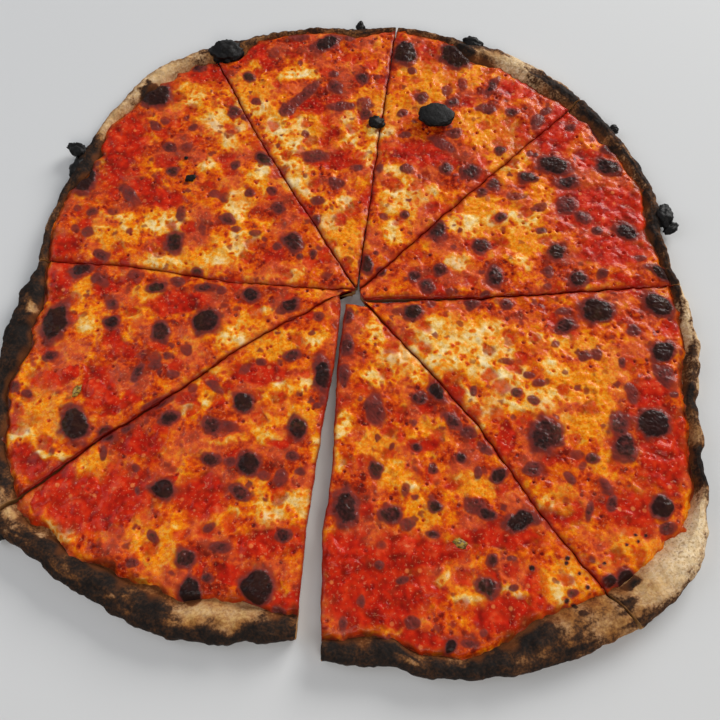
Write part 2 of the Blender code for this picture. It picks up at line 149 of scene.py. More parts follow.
# pale and dark patches of the rim: x and y in pixels, length, width and turn
PALE_RIM = (
    (222, 615, 88, 18, 0), (230, 600, 34, 20, 0), (10, 516, 14, 12, 0),
    (32, 303, 16, 12, 60), (500, 58, 50, 16, -20), (155, 80, 60, 12, 40), (115, 115, 30, 8, 50),
    (684, 330, 10, 60, 0), (690, 540, 30, 50, 0), (660, 590, 60, 34, 45),
)
DARK_RIM = (
    (50, 548, 34, 20, -30), (97, 570, 60, 22, -30), (150, 606, 50, 26, -20), (268, 625, 44, 14, 0),
    (350, 655, 70, 20, 0), (430, 668, 60, 14, 0), (540, 640, 40, 20, 30),
    (560, 88, 60, 8, -40), (600, 118, 40, 10, -50), (18, 352, 22, 60, 20), (40, 285, 14, 40, 10),
    (480, 665, 50, 16, 10), (640, 160, 12, 50, 30),
)

# points of each cut from the middle to the rim: x, y and the width of the gap there
CUTS = {
    "upper_left": ((0.0, -0.4, 1.2), (-62.0, 107.0, 1.0), (-99.0, 183.2, 1.6)),
    "top": ((1.8, 0.9, 1.2), (16.5, 117.0, 0.9), (27.8, 198.1, 1.4)),
    "upper_right": ((3.2, -1.4, 1.4), (75.0, 69.0, 1.0), (148.2, 138.2, 1.2)),
    "right": ((5.0, -9.0, 2.4), (17.0, -8.8, 4.0), (40.0, -8.1, 2.8), (72.0, -7.5, 2.0),
              (188.0, 1.0, 1.2)),
    "lower_right": ((8.5, -13.0, 1.4), (29.0, -38.0, 1.6), (63.0, -79.0, 1.4),
                    (100.0, -138.0, 1.2), (137.6, -185.5, 1.8)),
    "gap": ((-6.5, -11.2, 3.3), (-8.1, -27.0, 2.6), (-10.4, -48.0, 2.5),
            (-13.2, -74.5, 6.1), (-16.0, -108.0, 9.1), (-20.2, -139.0, 9.6),
            (-21.1, -165.0, 10.8), (-21.4, -190.0, 13.5)),
    "lower_left": ((-9.0, -4.4, 1.2), (-62.0, -37.0, 1.2), (-97.0, -64.5, 1.8),
                   (-136.0, -92.0, 2.0), (-183.0, -131.0, 3.0)),
    "left": ((-1.0, -2.6, 1.2), (-47.0, 1.0, 1.0), (-77.0, 3.4, 1.0),
             (-105.0, 9.0, 1.2), (-141.0, 14.2, 1.0), (-186.0, 17.4, 1.4)),
}

# each slice: its cut on the clockwise side, on the other side, and its point
SLICES = (
    ("upper_left", "left", (0.4, -1.4)),
    ("top", "upper_left", (0.3, 1.1)),
    ("upper_right", "top", (3.4, 0.8)),
    ("right", "upper_right", (3.0, -4.6)),
    ("lower_right", "right", (12.3, -13.6)),
    ("gap", "lower_right", (2.0, -12.6)),
    ("lower_left", "gap", (-8.8, -6.2)),
    ("left", "lower_left", (-9.9, -3.2)),
)

# where the photograph was taken from, found from the round's own outline: focal
# length in pixels, degrees below the level, height, and the foot of the camera
FOCAL_PX = 706.0
LOOK_DOWN = math.radians(68.0)
CAMERA_HEIGHT = 371.0
CAMERA_FOOT = (3.0, -193.0)
PICTURE_MIDDLE = 360.0
PICTURE_WIDTH = 720.0
SENSOR_WIDTH = 36.0
# height of the surface that the pixels below were read on
TOPPING_LEVEL = 8.5

# burnt blisters, read off the photograph: x and y in pixels, length and width in
# pixels, turn of the length in degrees, and how dark it is, from 0.4 maroon to 1 black
BLISTERS = (
    # upper left slice
    (155, 94, 34, 27, 0, 1.0), (170, 147, 12, 9, 0, 0.75), (173, 170, 15, 10, 0, 0.8),
    (155, 125, 13, 8, -30, 0.6), (97, 162, 7, 6, 0, 0.5), (165, 120, 9, 7, 0, 0.5),
    (83, 177, 38, 27, 80, 1.0), (129, 194, 28, 11, -50, 0.62), (92, 211, 12, 10, 0, 0.7),
    (114, 211, 12, 9, 0, 0.45), (77, 208, 8, 7, 0, 0.5), (87, 231, 11, 9, 0, 0.65),
    (75, 228, 8, 8, 0, 0.5), (101, 254, 17, 9, -15, 0.75), (174, 242, 24, 19, 80, 0.88),
    (181, 214, 15, 11, 90, 0.62), (199, 67, 14, 9, 0, 0.8), (234, 112, 12, 12, 0, 0.75),
    (245, 117, 8, 8, 0, 0.75), (193, 127, 10, 8, 0, 0.65), (229, 133, 12, 8, 0, 0.42),
    (187, 147, 10, 8, 0, 0.5), (235, 165, 9, 8, 0, 0.75), (264, 159, 20, 12, -25, 0.88),
    (293, 242, 22, 20, 90, 0.85), (278, 207, 13, 12, 0, 0.75), (278, 246, 9, 8, 0, 0.7),
    (250, 193, 10, 9, 0, 0.7), (272, 190, 10, 9, 0, 0.7), (203, 228, 14, 8, 90, 0.5),
    (236, 229, 13, 6, 0, 0.5), (255, 233, 12, 6, 0, 0.5), (313, 253, 8, 7, 0, 0.7),
    (300, 256, 7, 6, 0, 0.7), (326, 276, 10, 8, 0, 0.5), (197, 273, 12, 10, 0, 0.85),
    (214, 194, 12, 10, 0, 0.5), (224, 197, 12, 10, 0, 0.5), (228, 219, 15, 12, 0, 0.75),
    # top slice
    (249, 77, 13, 12, 0, 0.85), (256, 101, 10, 8, 0, 0.6), (327, 43, 36, 14, 25, 0.95),
    (333, 74, 10, 7, 0, 0.65), (336, 87, 14, 12, 0, 0.72), (304, 94, 46, 10, 38, 0.62),
    (287, 110, 17, 14, 38, 0.68), (341, 106, 28, 9, 0, 0.68), (306, 134, 8, 8, 0, 0.5),
    (316, 156, 24, 12, 0, 0.7), (357, 168, 11, 9, 0, 0.7), (336, 183, 16, 10, 0, 0.65),
    (317, 201, 12, 9, 0, 0.65), (316, 220, 10, 9, 0, 0.75), (299, 37, 18, 8, 0, 0.6),
    (363, 78, 14, 11, 0, 0.8), (366, 104, 17, 14, 0, 0.5), (367, 113, 13, 11, 0, 0.75),
    (350, 37, 11, 9, 0, 0.65), (275, 52, 10, 12, 0, 0.45),
    # upper right slice
    (405, 54, 24, 24, 0, 1.0), (412, 71, 9, 6, 0, 0.6), (458, 54, 36, 28, 0, 1.0),
    (421, 98, 13, 11, 0, 0.75), (453, 102, 13, 9, 0, 0.75), (402, 112, 10, 9, 0, 0.65),
    (405, 134, 11, 7, 0, 0.6), (455, 133, 16, 10, 0, 0.65), (442, 143, 27, 10, -30, 0.62),
    (380, 168, 11, 8, 80, 0.65), (407, 169, 13, 9, 0, 0.62), (446, 168, 15, 12, 0, 0.8),
    (471, 172, 20, 16, 0, 0.82), (405, 214, 9, 8, 0, 0.75), (366, 264, 22, 14, 110, 0.9),
    (384, 216, 8, 8, 0, 0.5), (447, 90, 12, 9, 0, 0.5), (463, 84, 15, 8, 80, 0.5),
    # right slice
    (492, 86, 21, 9, 60, 0.8), (487, 108, 19, 10, 0, 0.66), (512, 112, 13, 8, 0, 0.78),
    (538, 121, 18, 12, 50, 0.7), (546, 111, 12, 8, 20, 0.65), (500, 150, 11, 10, 0, 0.8),
    (527, 177, 19, 13, 0, 0.88), (554, 165, 36, 20, -10, 0.97), (608, 166, 27, 18, -25, 0.92),
    (571, 127, 11, 8, 0, 0.75), (596, 130, 22, 10, -45, 0.75), (585, 118, 16, 7, -25, 0.8),
    (567, 182, 26, 13, 0, 0.85), (567, 205, 21, 18, 0, 0.75), (583, 216, 18, 12, -35, 0.75),
    (517, 196, 20, 8, 0, 0.5), (494, 184, 14, 12, 0, 0.78), (483, 192, 12, 10, 0, 0.75),
    (502, 217, 12, 9, 0, 0.75), (540, 207, 12, 9, 0, 0.5), (541, 230, 10, 8, 0, 0.75),
    (598, 230, 10, 9, 0, 0.78), (627, 231, 27, 17, -35, 0.93), (482, 245, 20, 16, 0, 0.85),
    (437, 231, 22, 18, 90, 0.85), (495, 277, 22, 18, 90, 0.85), (440, 270, 14, 13, 0, 0.8),
    (414, 275, 14, 13, 0, 0.8), (426, 286, 16, 14, 0, 0.8), (381, 271, 10, 9, 0, 0.9),
    (449, 291, 9, 8, 0, 0.5), (557, 252, 23, 18, 25, 0.92), (549, 272, 12, 11, 0, 0.68),
    (578, 279, 19, 18, 0, 0.88), (602, 273, 12, 11, 90, 0.68), (641, 258, 12, 6, 0, 0.6),
    (548, 286, 8, 6, 0, 0.5), (663, 273, 40, 12, -25, 1.0), (612, 148, 22, 14, 0, 0.8),
    (530, 153, 6, 6, 0, 0.6), (535, 154, 7, 6, 0, 0.75),
    # lower right slice
    (413, 312, 22, 17, 0, 0.92), (398, 311, 12, 8, 0, 0.5), (430, 302, 12, 10, 0, 0.5),
    (471, 303, 14, 12, 0, 0.75), (507, 304, 13, 12, 0, 0.75), (485, 295, 9, 8, 0, 0.7),
    (596, 311, 38, 26, 0, 0.97), (566, 325, 22, 16, 15, 0.85), (563, 311, 16, 8, 0, 0.65),
    (659, 304, 40, 21, -25, 0.97), (634, 330, 13, 12, 0, 0.75), (663, 351, 26, 22, 0, 0.97),
    (584, 356, 15, 11, 0, 0.72), (596, 354, 12, 10, 0, 0.6), (622, 362, 10, 7, 90, 0.75),
    (664, 374, 24, 17, -50, 0.72), (632, 392, 20, 13, -60, 0.62), (529, 375, 11, 7, 0, 0.62),
    (539, 383, 12, 9, 0, 0.58), (517, 393, 13, 9, 0, 0.78), (534, 400, 13, 10, -20, 0.72),
    (653, 422, 38, 30, 0, 1.0), (619, 424, 28, 22, 90, 0.76), (625, 447, 32, 25, 85, 0.85),
    (546, 434, 38, 34, 60, 0.85), (594, 458, 13, 11, 0, 0.76), (474, 391, 10, 8, 90, 0.7),
    (534, 468, 19, 15, 0, 0.76), (577, 455, 15, 9, 0, 0.5), (500, 471, 4, 4, 0, 0.5),
    (663, 507, 25, 24, 0, 1.0), (668, 528, 17, 13, 0, 0.75), (570, 478, 15, 10, -40, 0.62),
    (606, 487, 22, 9, -50, 0.68), (613, 503, 18, 10, 80, 0.78), (590, 510, 20, 8, 80, 0.76),
    (583, 466, 9, 8, 0, 0.5), (506, 361, 18, 6, 0, 0.5), (628, 579, 25, 24, 0, 0.95),
    (611, 581, 15, 14, 0, 1.0), (674, 394, 8, 6, 0, 0.6), (556, 344, 8, 7, 0, 0.5),
    (636, 535, 3, 3, 0, 1.0), (647, 535, 3, 3, 0, 1.0), (639, 541, 3, 3, 0, 1.0),
    (627, 545, 3, 3, 0, 1.0), (605, 563, 3, 3, 0, 1.0),
    # lower middle slice
    (349, 315, 16, 9, 90, 0.78), (347, 346, 22, 14, 90, 0.8), (344, 375, 22, 13, 90, 0.72),
    (375, 409, 34, 19, -80, 0.68), (437, 391, 27, 15, -55, 0.97), (419, 398, 15, 14, 0, 0.8),
    (453, 420, 25, 14, -40, 0.78), (469, 432, 15, 14, 0, 0.68), (485, 449, 17, 8, -40, 0.66),
    (417, 447, 12, 9, 0, 0.82), (461, 458, 12, 11, 0, 0.86), (433, 468, 11, 10, 0, 0.78),
    (376, 469, 17, 15, 90, 0.82), (478, 472, 13, 8, 80, 0.66), (498, 475, 17, 16, 0, 0.92),
    (414, 422, 8, 6, 90, 0.55), (392, 446, 8, 5, 60, 0.55), (436, 506, 14, 13, 0, 0.88),
    (391, 515, 25, 22, 0, 0.86), (408, 524, 14, 12, 0, 0.66), (405, 490, 12, 9, 90, 0.52),
    (475, 506, 23, 16, -30, 0.7), (487, 514, 21, 12, -15, 0.87), (520, 521, 37, 20, 15, 0.97),
    (433, 534, 15, 8, -15, 0.76), (346, 508, 44, 25, 100, 0.88), (379, 565, 9, 9, 0, 0.62),
    (403, 580, 13, 8, 0, 0.72), (361, 601, 13, 8, 90, 0.68), (343, 624, 15, 9, 90, 0.72),
    (413, 622, 15, 14, 0, 0.66), (451, 646, 20, 11, 70, 1.0), (470, 644, 17, 8, 0, 0.72),
    (484, 633, 9, 8, 0, 0.58), (493, 560, 13, 11, 90, 0.76), (488, 587, 25, 19, -35, 0.87),
    (512, 558, 10, 6, 0, 0.6), (513, 588, 10, 6, 0, 0.58), (532, 568, 7, 6, 0, 1.0),
    (573, 593, 12, 9, 0, 0.75), (548, 628, 18, 14, 40, 0.85), (381, 646, 24, 18, 20, 0.9),
    (382, 545, 9, 8, 0, 0.5), (568, 558, 5, 5, 0, 1.0), (567, 563, 4, 4, 0, 1.0),
    (588, 587, 4, 4, 0, 1.0), (567, 601, 5, 5, 0, 1.0), (576, 606, 8, 4, -20, 1.0),
    (583, 613, 9, 6, 0, 1.0), (580, 573, 3, 3, 0, 1.0),
    # lower left slice
    (319, 316, 13, 8, 0, 0.55), (292, 355, 18, 12, 0, 0.8), (323, 376, 46, 18, 95, 0.95),
    (261, 362, 10, 8, 0, 0.68), (317, 405, 8, 6, 0, 0.62), (298, 428, 26, 22, 90, 0.9),
    (249, 463, 27, 25, 90, 0.93), (243, 402, 23, 21, 0, 0.95), (292, 455, 11, 10, 0, 0.76),
    (301, 471, 11, 9, 0, 0.66), (158, 403, 34, 10, 22, 0.92), (168, 418, 22, 15, 30, 0.87),
    (107, 434, 20, 17, 0, 0.92), (128, 428, 14, 9, 40, 0.74), (103, 453, 13, 7, 80, 0.62),
    (211, 425, 20, 16, -10, 0.82), (228, 426, 20, 11, -5, 0.55), (211, 459, 21, 14, 0, 0.84),
    (230, 461, 13, 10, 0, 0.74), (281, 477, 18, 14, 80, 0.62), (264, 475, 13, 10, 0, 0.55),
    (163, 489, 28, 22, 0, 0.96), (135, 468, 9, 8, 0, 0.58), (137, 491, 8, 5, 90, 0.6),
    (153, 537, 15, 8, -50, 0.72), (185, 558, 23, 19, 0, 0.87), (240, 492, 24, 13, -28, 0.82),
    (215, 386, 20, 9, -32, 0.58), (193, 388, 10, 8, 0, 0.5), (245, 368, 13, 8, 40, 0.52),
    (209, 528, 13, 7, 30, 0.66), (284, 535, 16, 13, 0, 0.84), (220, 547, 24, 13, 0, 0.76),
    (190, 592, 28, 25, 90, 0.98), (207, 578, 13, 11, 0, 0.8), (258, 586, 39, 36, 90, 1.0),
    (132, 563, 12, 11, 0, 0.66), (278, 612, 16, 12, -20, 0.72),
    # left slice
    (157, 287, 22, 11, 0, 0.92), (134, 274, 13, 9, 0, 0.56), (82, 269, 27, 14, 20, 0.87),
    (99, 279, 16, 11, -30, 0.66), (178, 281, 14, 10, 0, 0.66), (112, 303, 15, 11, 0, 0.74),
    (111, 322, 19, 13, 20, 0.87), (55, 323, 45, 25, 70, 1.0), (161, 332, 22, 20, 90, 0.88),
    (50, 356, 17, 10, 30, 0.8), (154, 357, 13, 11, 0, 0.5), (168, 355, 10, 8, 0, 0.58),
    (138, 372, 18, 12, 60, 0.77), (155, 365, 12, 10, 0, 0.66), (14, 386, 13, 11, 0, 0.74),
    (26, 393, 9, 7, 0, 0.62), (4, 402, 11, 10, 0, 0.68), (75, 424, 38, 29, 100, 1.0),
    (205, 287, 22, 8, 0, 0.78), (222, 290, 12, 8, 0, 0.55), (206, 321, 30, 26, 0, 0.95),
    (187, 349, 12, 10, 0, 0.52), (251, 295, 18, 14, 0, 0.9), (290, 304, 18, 15, 0, 0.9),
    (282, 309, 12, 9, 0, 0.55), (173, 374, 12, 9, 0, 0.58),
)

# where bare tomato lies on top: x and y in pixels, length, width and turn
TOMATO_AREAS = (
    (118, 150, 86, 46, 50), (150, 190, 40, 24, -20), (55, 245, 40, 26, 0), (165, 200, 34, 16, 0),
    (205, 76, 44, 18, -20), (97, 385, 42, 34, 60), (60, 277, 50, 22, 70), (105, 285, 34, 18, 0),
    (176, 302, 70, 20, 5), (112, 342, 26, 18, 0), (122, 402, 46, 15, 20), (45, 382, 26, 36, 0),
    (22, 423, 32, 14, 0), (26, 462, 40, 30, -40), (100, 500, 110, 62, 15), (60, 478, 34, 30, 0),
    (202, 500, 50, 54, 0), (262, 546, 60, 24, 0), (232, 572, 44, 22, 0), (144, 444, 52, 26, 20),
    (258, 372, 60, 22, 0), (288, 600, 26, 50, 90), (30, 530, 26, 20, 0), (345, 560, 50, 60, 0),
    (378, 592, 110, 74, 0), (410, 552, 100, 36, 0), (500, 538, 90, 26, 0), (506, 612, 60, 46, 0),
    (425, 640, 60, 24, 0), (424, 446, 32, 14, 0), (534, 588, 26, 50, 0), (665, 450, 84, 50, 90),
    (632, 512, 60, 44, 0), (566, 507, 34, 44, 0), (650, 392, 44, 30, 0), (670, 326, 26, 16, 0),
    (504, 438, 22, 40, 0), (455, 386, 30, 15, 110), (600, 206, 110, 46, 0), (640, 226, 40, 26, 0),
    (560, 128, 60, 40, 60), (590, 158, 34, 22, 0), (520, 88, 40, 22, 0), (612, 250, 74, 34, 0),
    (622, 285, 60, 16, 0), (512, 134, 34, 36, 0), (430, 55, 22, 28, 0), (449, 80, 18, 22, 0),
    (416, 152, 66, 24, 0), (252, 50, 36, 26, 0), (326, 130, 20, 32, 0), (330, 160, 60, 14, 0),
    (270, 62, 20, 16, 0), (310, 104, 22, 16, 0), (400, 440, 14, 12, 0), (286, 440, 34, 12, 0),
    (185, 300, 40, 14, 0), (395, 620, 50, 26, 0), (452, 556, 34, 18, 0),
)

# whole lumps of tomato that stand up: x and y in pixels, length, width and turn
TOMATO_LUMPS = (
    (31, 531, 25, 24, 0), (60, 490, 38, 24, 10), (40, 499, 22, 16, 40), (92, 487, 18, 14, 0),
    (334, 552, 18, 28, 0), (352, 566, 20, 14, 0), (95, 388, 26, 20, 60), (70, 372, 18, 14, 0),
    (125, 512, 22, 16, 20), (662, 446, 26, 18, 0), (648, 462, 18, 12, 0), (170, 478, 18, 10, 30),
    (110, 398, 20, 14, 0), (430, 592, 22, 14, 0), (378, 610, 26, 14, 0), (458, 548, 24, 10, 0),
)

# small rings of oil round a bubble of cheese: x and y in pixels and width
OIL_RINGS = ((142, 583, 12),)

# where the cheese stays pale: x and y in pixels, length, width and turn
CREAM_AREAS = (
    # upper left slice
    (227, 122, 50, 40, -50), (227, 250, 40, 40, 0), (163, 263, 34, 16, -10), (243, 236, 34, 18, 0),
    (165, 222, 44, 30, 0), (192, 100, 20, 12, 0), (122, 222, 36, 14, -15), (236, 205, 30, 30, 0),
    (262, 172, 24, 30, 0), (205, 165, 26, 16, 0), (300, 275, 26, 10, 0),
    # top slice
    (300, 73, 34, 12, 0), (282, 130, 48, 34, -20), (295, 158, 40, 36, -20), (352, 132, 22, 34, 0),
    (305, 185, 40, 26, 0), (330, 215, 20, 30, 0), (262, 108, 20, 16, 0), (344, 205, 16, 24, 0),
    # upper right slice
    (374, 131, 32, 20, 0), (374, 155, 30, 18, 0), (402, 197, 44, 36, 0), (395, 172, 26, 14, 0),
    (432, 188, 22, 14, 0), (392, 232, 20, 26, 0),
    # right slice
    (515, 218, 50, 18, 0), (460, 225, 34, 20, 20), (455, 262, 30, 14, 0), (515, 165, 16, 8, 0),
    (520, 262, 34, 14, 0),
    # lower right slice
    (437, 335, 34, 40, 0), (487, 338, 52, 36, 0), (446, 362, 54, 34, 0), (503, 377, 50, 26, 0),
    (522, 398, 74, 32, -8), (470, 358, 60, 30, 0), (468, 405, 16, 44, 20), (548, 366, 30, 16, 0),
    (480, 430, 14, 26, 0), (500, 404, 42, 26, 0), (545, 505, 14, 20, 0), (540, 338, 30, 12, 0),
    (420, 325, 20, 12, 0),
    # lower middle slice
    (374, 335, 26, 24, 0), (402, 358, 54, 36, 0), (345, 424, 14, 30, 0), (341, 460, 12, 24, 0),
    (413, 493, 16, 14, 0), (468, 597, 30, 11, 0), (516, 592, 40, 12, 0), (445, 578, 12, 18, 0),
    (562, 584, 20, 30, 0), (376, 380, 20, 24, 0), (420, 375, 20, 18, -40),
    # lower left slice
    (315, 340, 22, 16, 0), (288, 386, 44, 22, 25), (228, 437, 38, 10, 0), (192, 406, 34, 12, 15),
    (268, 436, 28, 14, 0), (270, 508, 46, 22, 0), (306, 500, 22, 22, 0), (210, 374, 30, 12, 25),
    (58, 458, 26, 8, 10), (60, 530, 36, 30, 0), (315, 445, 12, 20, 0),
    # left slice
    (82, 324, 18, 14, 0), (20, 433, 22, 14, 0), (45, 459, 28, 9, -10), (262, 312, 24, 12, 20),
    (232, 335, 24, 14, 20),
)

# where the cheese is browned dark red: x and y in pixels, length, width and turn
TOASTED_AREAS = (
    (222, 84, 34, 46, 0), (120, 192, 44, 24, -50), (205, 232, 40, 24, 0), (180, 150, 40, 26, 0),
    (285, 205, 44, 26, 0), (280, 252, 40, 14, 0), (350, 84, 54, 34, 0), (305, 45, 80, 20, 0),
    (330, 95, 70, 30, 20), (330, 185, 34, 24, 0), (452, 148, 50, 50, 0), (465, 170, 36, 26, 0),
    (400, 85, 24, 30, 0), (455, 100, 40, 26, 0), (490, 95, 34, 28, 0), (525, 118, 40, 24, 0),
    (497, 184, 44, 26, 0), (550, 178, 66, 30, 0), (497, 277, 36, 26, 0), (563, 268, 40, 30, 0),
    (432, 275, 44, 26, 0), (445, 238, 34, 24, 0), (546, 438, 54, 50, 0), (535, 466, 34, 22, 0),
    (620, 430, 34, 50, 0), (580, 360, 44, 22, 0), (458, 424, 40, 22, -40), (593, 487, 40, 26, 0),
    (660, 390, 36, 40, 0), (505, 310, 60, 14, 0), (570, 318, 36, 24, 0), (640, 318, 40, 24, 0),
    (377, 412, 36, 40, 0), (350, 505, 36, 60, 0), (395, 512, 46, 34, 0), (430, 400, 44, 24, -50),
    (470, 445, 50, 40, -45), (500, 515, 70, 28, 0), (488, 580, 34, 30, 0), (346, 350, 18, 50, 0),
    (323, 376, 26, 60, 0), (240, 465, 60, 40, 0), (285, 470, 44, 40, 0), (225, 425, 60, 24, 0),
    (150, 420, 70, 26, 20), (200, 560, 60, 36, 0), (200, 595, 50, 36, 0), (240, 492, 40, 22, -30),
    (145, 365, 50, 40, 50), (110, 312, 40, 36, 0), (205, 295, 50, 18, 0), (140, 280, 60, 18, 0),
    (85, 272, 46, 22, 0), (262, 298, 70, 18, 0), (125, 440, 60, 26, 20), (105, 562, 50, 30, -30),
    (620, 228, 50, 30, 0), (605, 285, 60, 20, 0), (575, 205, 40, 40, 0), (560, 625, 60, 40, 40),
    (460, 640, 60, 24, 0), (350, 620, 20, 40, 0),
)

# where yellow oil stands on the cheese: x and y in pixels, length, width and turn
YELLOW_AREAS = (
    (113, 237, 40, 26, 0), (100, 165, 26, 12, -40), (192, 94, 32, 28, 0), (253, 90, 42, 36, 0),
    (308, 126, 40, 30, 0), (368, 103, 30, 34, 0), (427, 82, 66, 46, 0), (475, 72, 20, 28, 0),
    (490, 128, 66, 44, 0), (507, 168, 40, 44, 0), (545, 190, 24, 34, 0), (598, 286, 56, 11, 0),
    (583, 377, 70, 50, 0), (607, 463, 34, 26, 0), (598, 410, 40, 50, 0), (636, 550, 60, 34, 0),
    (438, 428, 36, 22, 0), (470, 488, 40, 26, 0), (92, 465, 34, 28, 0), (150, 548, 40, 46, 0),
    (42, 412, 50, 56, 0), (84, 287, 26, 20, 0), (92, 318, 36, 36, 0), (146, 290, 30, 20, 0),
    (27, 374, 16, 28, 0), (395, 105, 30, 36, 0), (420, 512, 50, 36, 0), (566, 580, 56, 44, 0),
    (300, 415, 26, 26, 0), (264, 425, 40, 24, 0), (250, 485, 44, 18, 0), (290, 503, 56, 32, 0),
    (380, 445, 40, 44, 0), (400, 475, 30, 34, 0), (480, 590, 66, 26, 0), (575, 430, 50, 28, 0),
    (582, 345, 50, 20, 0), (345, 240, 40, 34, 0), (220, 92, 30, 20, -30), (690, 510, 12, 34, 0),
    (142, 583, 14, 14, 0), (480, 215, 60, 40, 0), (530, 240, 50, 24, 0), (470, 345, 90, 60, 0),
    (560, 500, 40, 24, 0), (205, 400, 40, 14, 20), (180, 260, 90, 24, 0), (240, 330, 50, 30, 20),
    (275, 345, 60, 24, 20), (130, 312, 26, 18, 0), (170, 560, 40, 22, 0), (220, 515, 30, 14, 0),
)

# burnt knobs that stand out of the rim, by slice: x, y, z, length, width, height, turn
KNOBS = {
    1: ((-175.0, 97.5, 5.6, 15, 9, 8, 150), (-174.0, 84.5, 5.0, 17, 9, 8, 80)),
    2: ((-87.4, 177.6, 7.4, 20, 17, 11, 15), (3.4, 202.2, 5.0, 6, 8, 8, 0)),
    3: ((79.2, 187.0, 5.6, 13, 9, 8, 160),),
    4: ((187.6, 48.5, 6.0, 15, 11, 9, 90), (190.8, 40.4, 5.0, 10, 6, 6, 35),
        (165.6, 114.0, 5.6, 7, 6, 6, 0)),
    7: ((-180.5, -139.6, 4.2, 10, 8, 7, 60),),
}

# the loose burnt bubble cap: middle, length, width, height and turn
CAP_MIDDLE = (51.6, 119.8)
CAP_SIZE = (22.0, 17.6, 6.4)
CAP_TURN = -6.0
# the cap in the scene is this much taller than its solid and stands this much higher
CAP_EXTRA = 1.0
CAP_LIFT = 0.6

# grain of the baked dough: size in mm, detail, shift and weight
DOUGH_GRAINS = ((14.0, 4.0, 0.0, 0.18), (3.4, 4.0, 0.4, 0.16), (1.3, 2.0, 1.7, 0.24))

# small things on the cheese: name, pixel x and y, length, width, height, turn, stuff, slot
BITS = (
    ("burnt_crumb_large", 376.5, 124, 10.0, 8.4, 5.2, 20, "burnt", "burnt"),
    ("burnt_crumb_small", 190.5, 178, 6.2, 4.6, 3.4, 10, "burnt", "burnt"),
    ("burnt_crumb_tiny", 186.0, 158, 2.4, 2.2, 1.8, 0, "burnt", "burnt"),
    ("herb_scrap", 460, 543.5, 7.0, 4.2, 2.4, -25, "herb", "cheese"),
    ("herb_scrap_small", 77, 391, 6.4, 3.8, 1.8, 70, "herb", "cheese"),
)

# strength of the pale room, and the floor's half width and its drop below the pizza in metres
ROOM_LIGHT = 0.25
FLOOR_REACH = 3.0
FLOOR_DROP = 0.0003

# soft lights, aimed at the middle: name, place and size in metres, power in watts, tint
LIGHTS = (
    ("window", (1.30, 1.50, 0.86), (1.3, 0.8), 46.0, "FFFDFA"),
    ("fill", (-1.1, 0.2, 0.9), (0.9, 0.9), 5.0, "F6F8FF"),
    ("near", (0.2, -1.1, 0.9), (0.9, 0.6), 7.5, "FFF8F0"),
)


def hashed(column, row, seed):
    """A repeatable share of one for every whole-number cell, mixed by large odd numbers."""
    mixed = (column * 374761393 + row * 668265263 + seed * 2246822519) & 0xFFFFFFFF
    mixed = ((mixed ^ (mixed >> 13)) * 1274126177) & 0xFFFFFFFF
    mixed = mixed ^ (mixed >> 16)
    return (mixed & 0xFFFFFF) / float(0x1000000)


def hills(x, y, size, seed):
    """Smooth hills and hollows about one size apart, from about -1 to 1."""
    across = x / size
    along_y = y / size
    column = np.floor(across)
    row = np.floor(along_y)
    fx = across - column
    fy = along_y - row
    column = column.astype(np.int64)
    row = row.astype(np.int64)
    ease_x = fx * fx * fx * (fx * (fx * 6.0 - 15.0) + 10.0)
    ease_y = fy * fy * fy * (fy * (fy * 6.0 - 15.0) + 10.0)
    sides = []
    for up in (0, 1):
        pair = []
        for over in (0, 1):
            turn = hashed(column + over, row + up, seed) * 2.0 * math.pi
            pair.append(np.cos(turn) * (fx - over) + np.sin(turn) * (fy - up))
        sides.append(pair[0] + (pair[1] - pair[0]) * ease_x)
    return (sides[0] + (sides[1] - sides[0]) * ease_y) * 1.5


def land(x, y, *layers):
    """Sum of hills, each layer given as height, size and seed."""
    return sum(height * hills(x, y, size, seed) for height, size, seed in layers)


def grains(x, y, size, seed):
    """Distance to the nearest of scattered grains, in sizes, and a share of its own."""
    across = x / size
    along_y = y / size
    column = np.floor(across).astype(np.int64)
    row = np.floor(along_y).astype(np.int64)
    nearest = np.full(across.shape, 9.0)
    own = np.zeros(across.shape)
    for over in (-1, 0, 1):
        for up in (-1, 0, 1):
            cell_x = column + over
            cell_y = row + up
            grain_x = cell_x + 0.1 + 0.8 * hashed(cell_x, cell_y, seed)
            grain_y = cell_y + 0.1 + 0.8 * hashed(cell_x, cell_y, seed + 1)
            away = np.hypot(across - grain_x, along_y - grain_y)
            closer = away < nearest
            nearest = np.where(closer, away, nearest)
            own = np.where(closer, hashed(cell_x, cell_y, seed + 2), own)
    return nearest, own


def dome(away):
    """Height share of a round lump: 1 in its middle, 0 from its edge outwards."""
    return np.clip(1.0 - away * away, 0.0, 1.0)


def ease(low, high, value):
    """0 below low, 1 above high, and a soft slope between them."""
    share = np.clip((value - low) / (high - low), 0.0, 1.0)
    return share * share * (3.0 - 2.0 * share)


def table_value(table, angle, column):
    """A column of a table whose first column is an angle in degrees, eased between rows."""
    rows = np.array(table, float)
    rows = np.vstack([rows[-1], rows, rows[0]])
    rows[0, 0] -= 360.0
    rows[-1, 0] += 360.0
    angle = np.mod(angle, 360.0)
    index = np.clip(np.searchsorted(rows[:, 0], angle, side="right") - 1, 0, len(rows) - 2)
    share = ease(0.0, 1.0, (angle - rows[index, 0]) / (rows[index + 1, 0] - rows[index, 0]))
    return rows[index, column] + (rows[index + 1, column] - rows[index, column]) * share


def bare_rim(angle):
    """Width of the rim left bare at an angle, wider where a knob stands on it."""
    width = table_value(RIM, angle, BARE)
    for middle, depth, half in NOTCHES:
        away = np.abs(np.mod(angle - middle + 180.0, 360.0) - 180.0) / half
        width = width + depth * np.exp(-away * away)
    return width


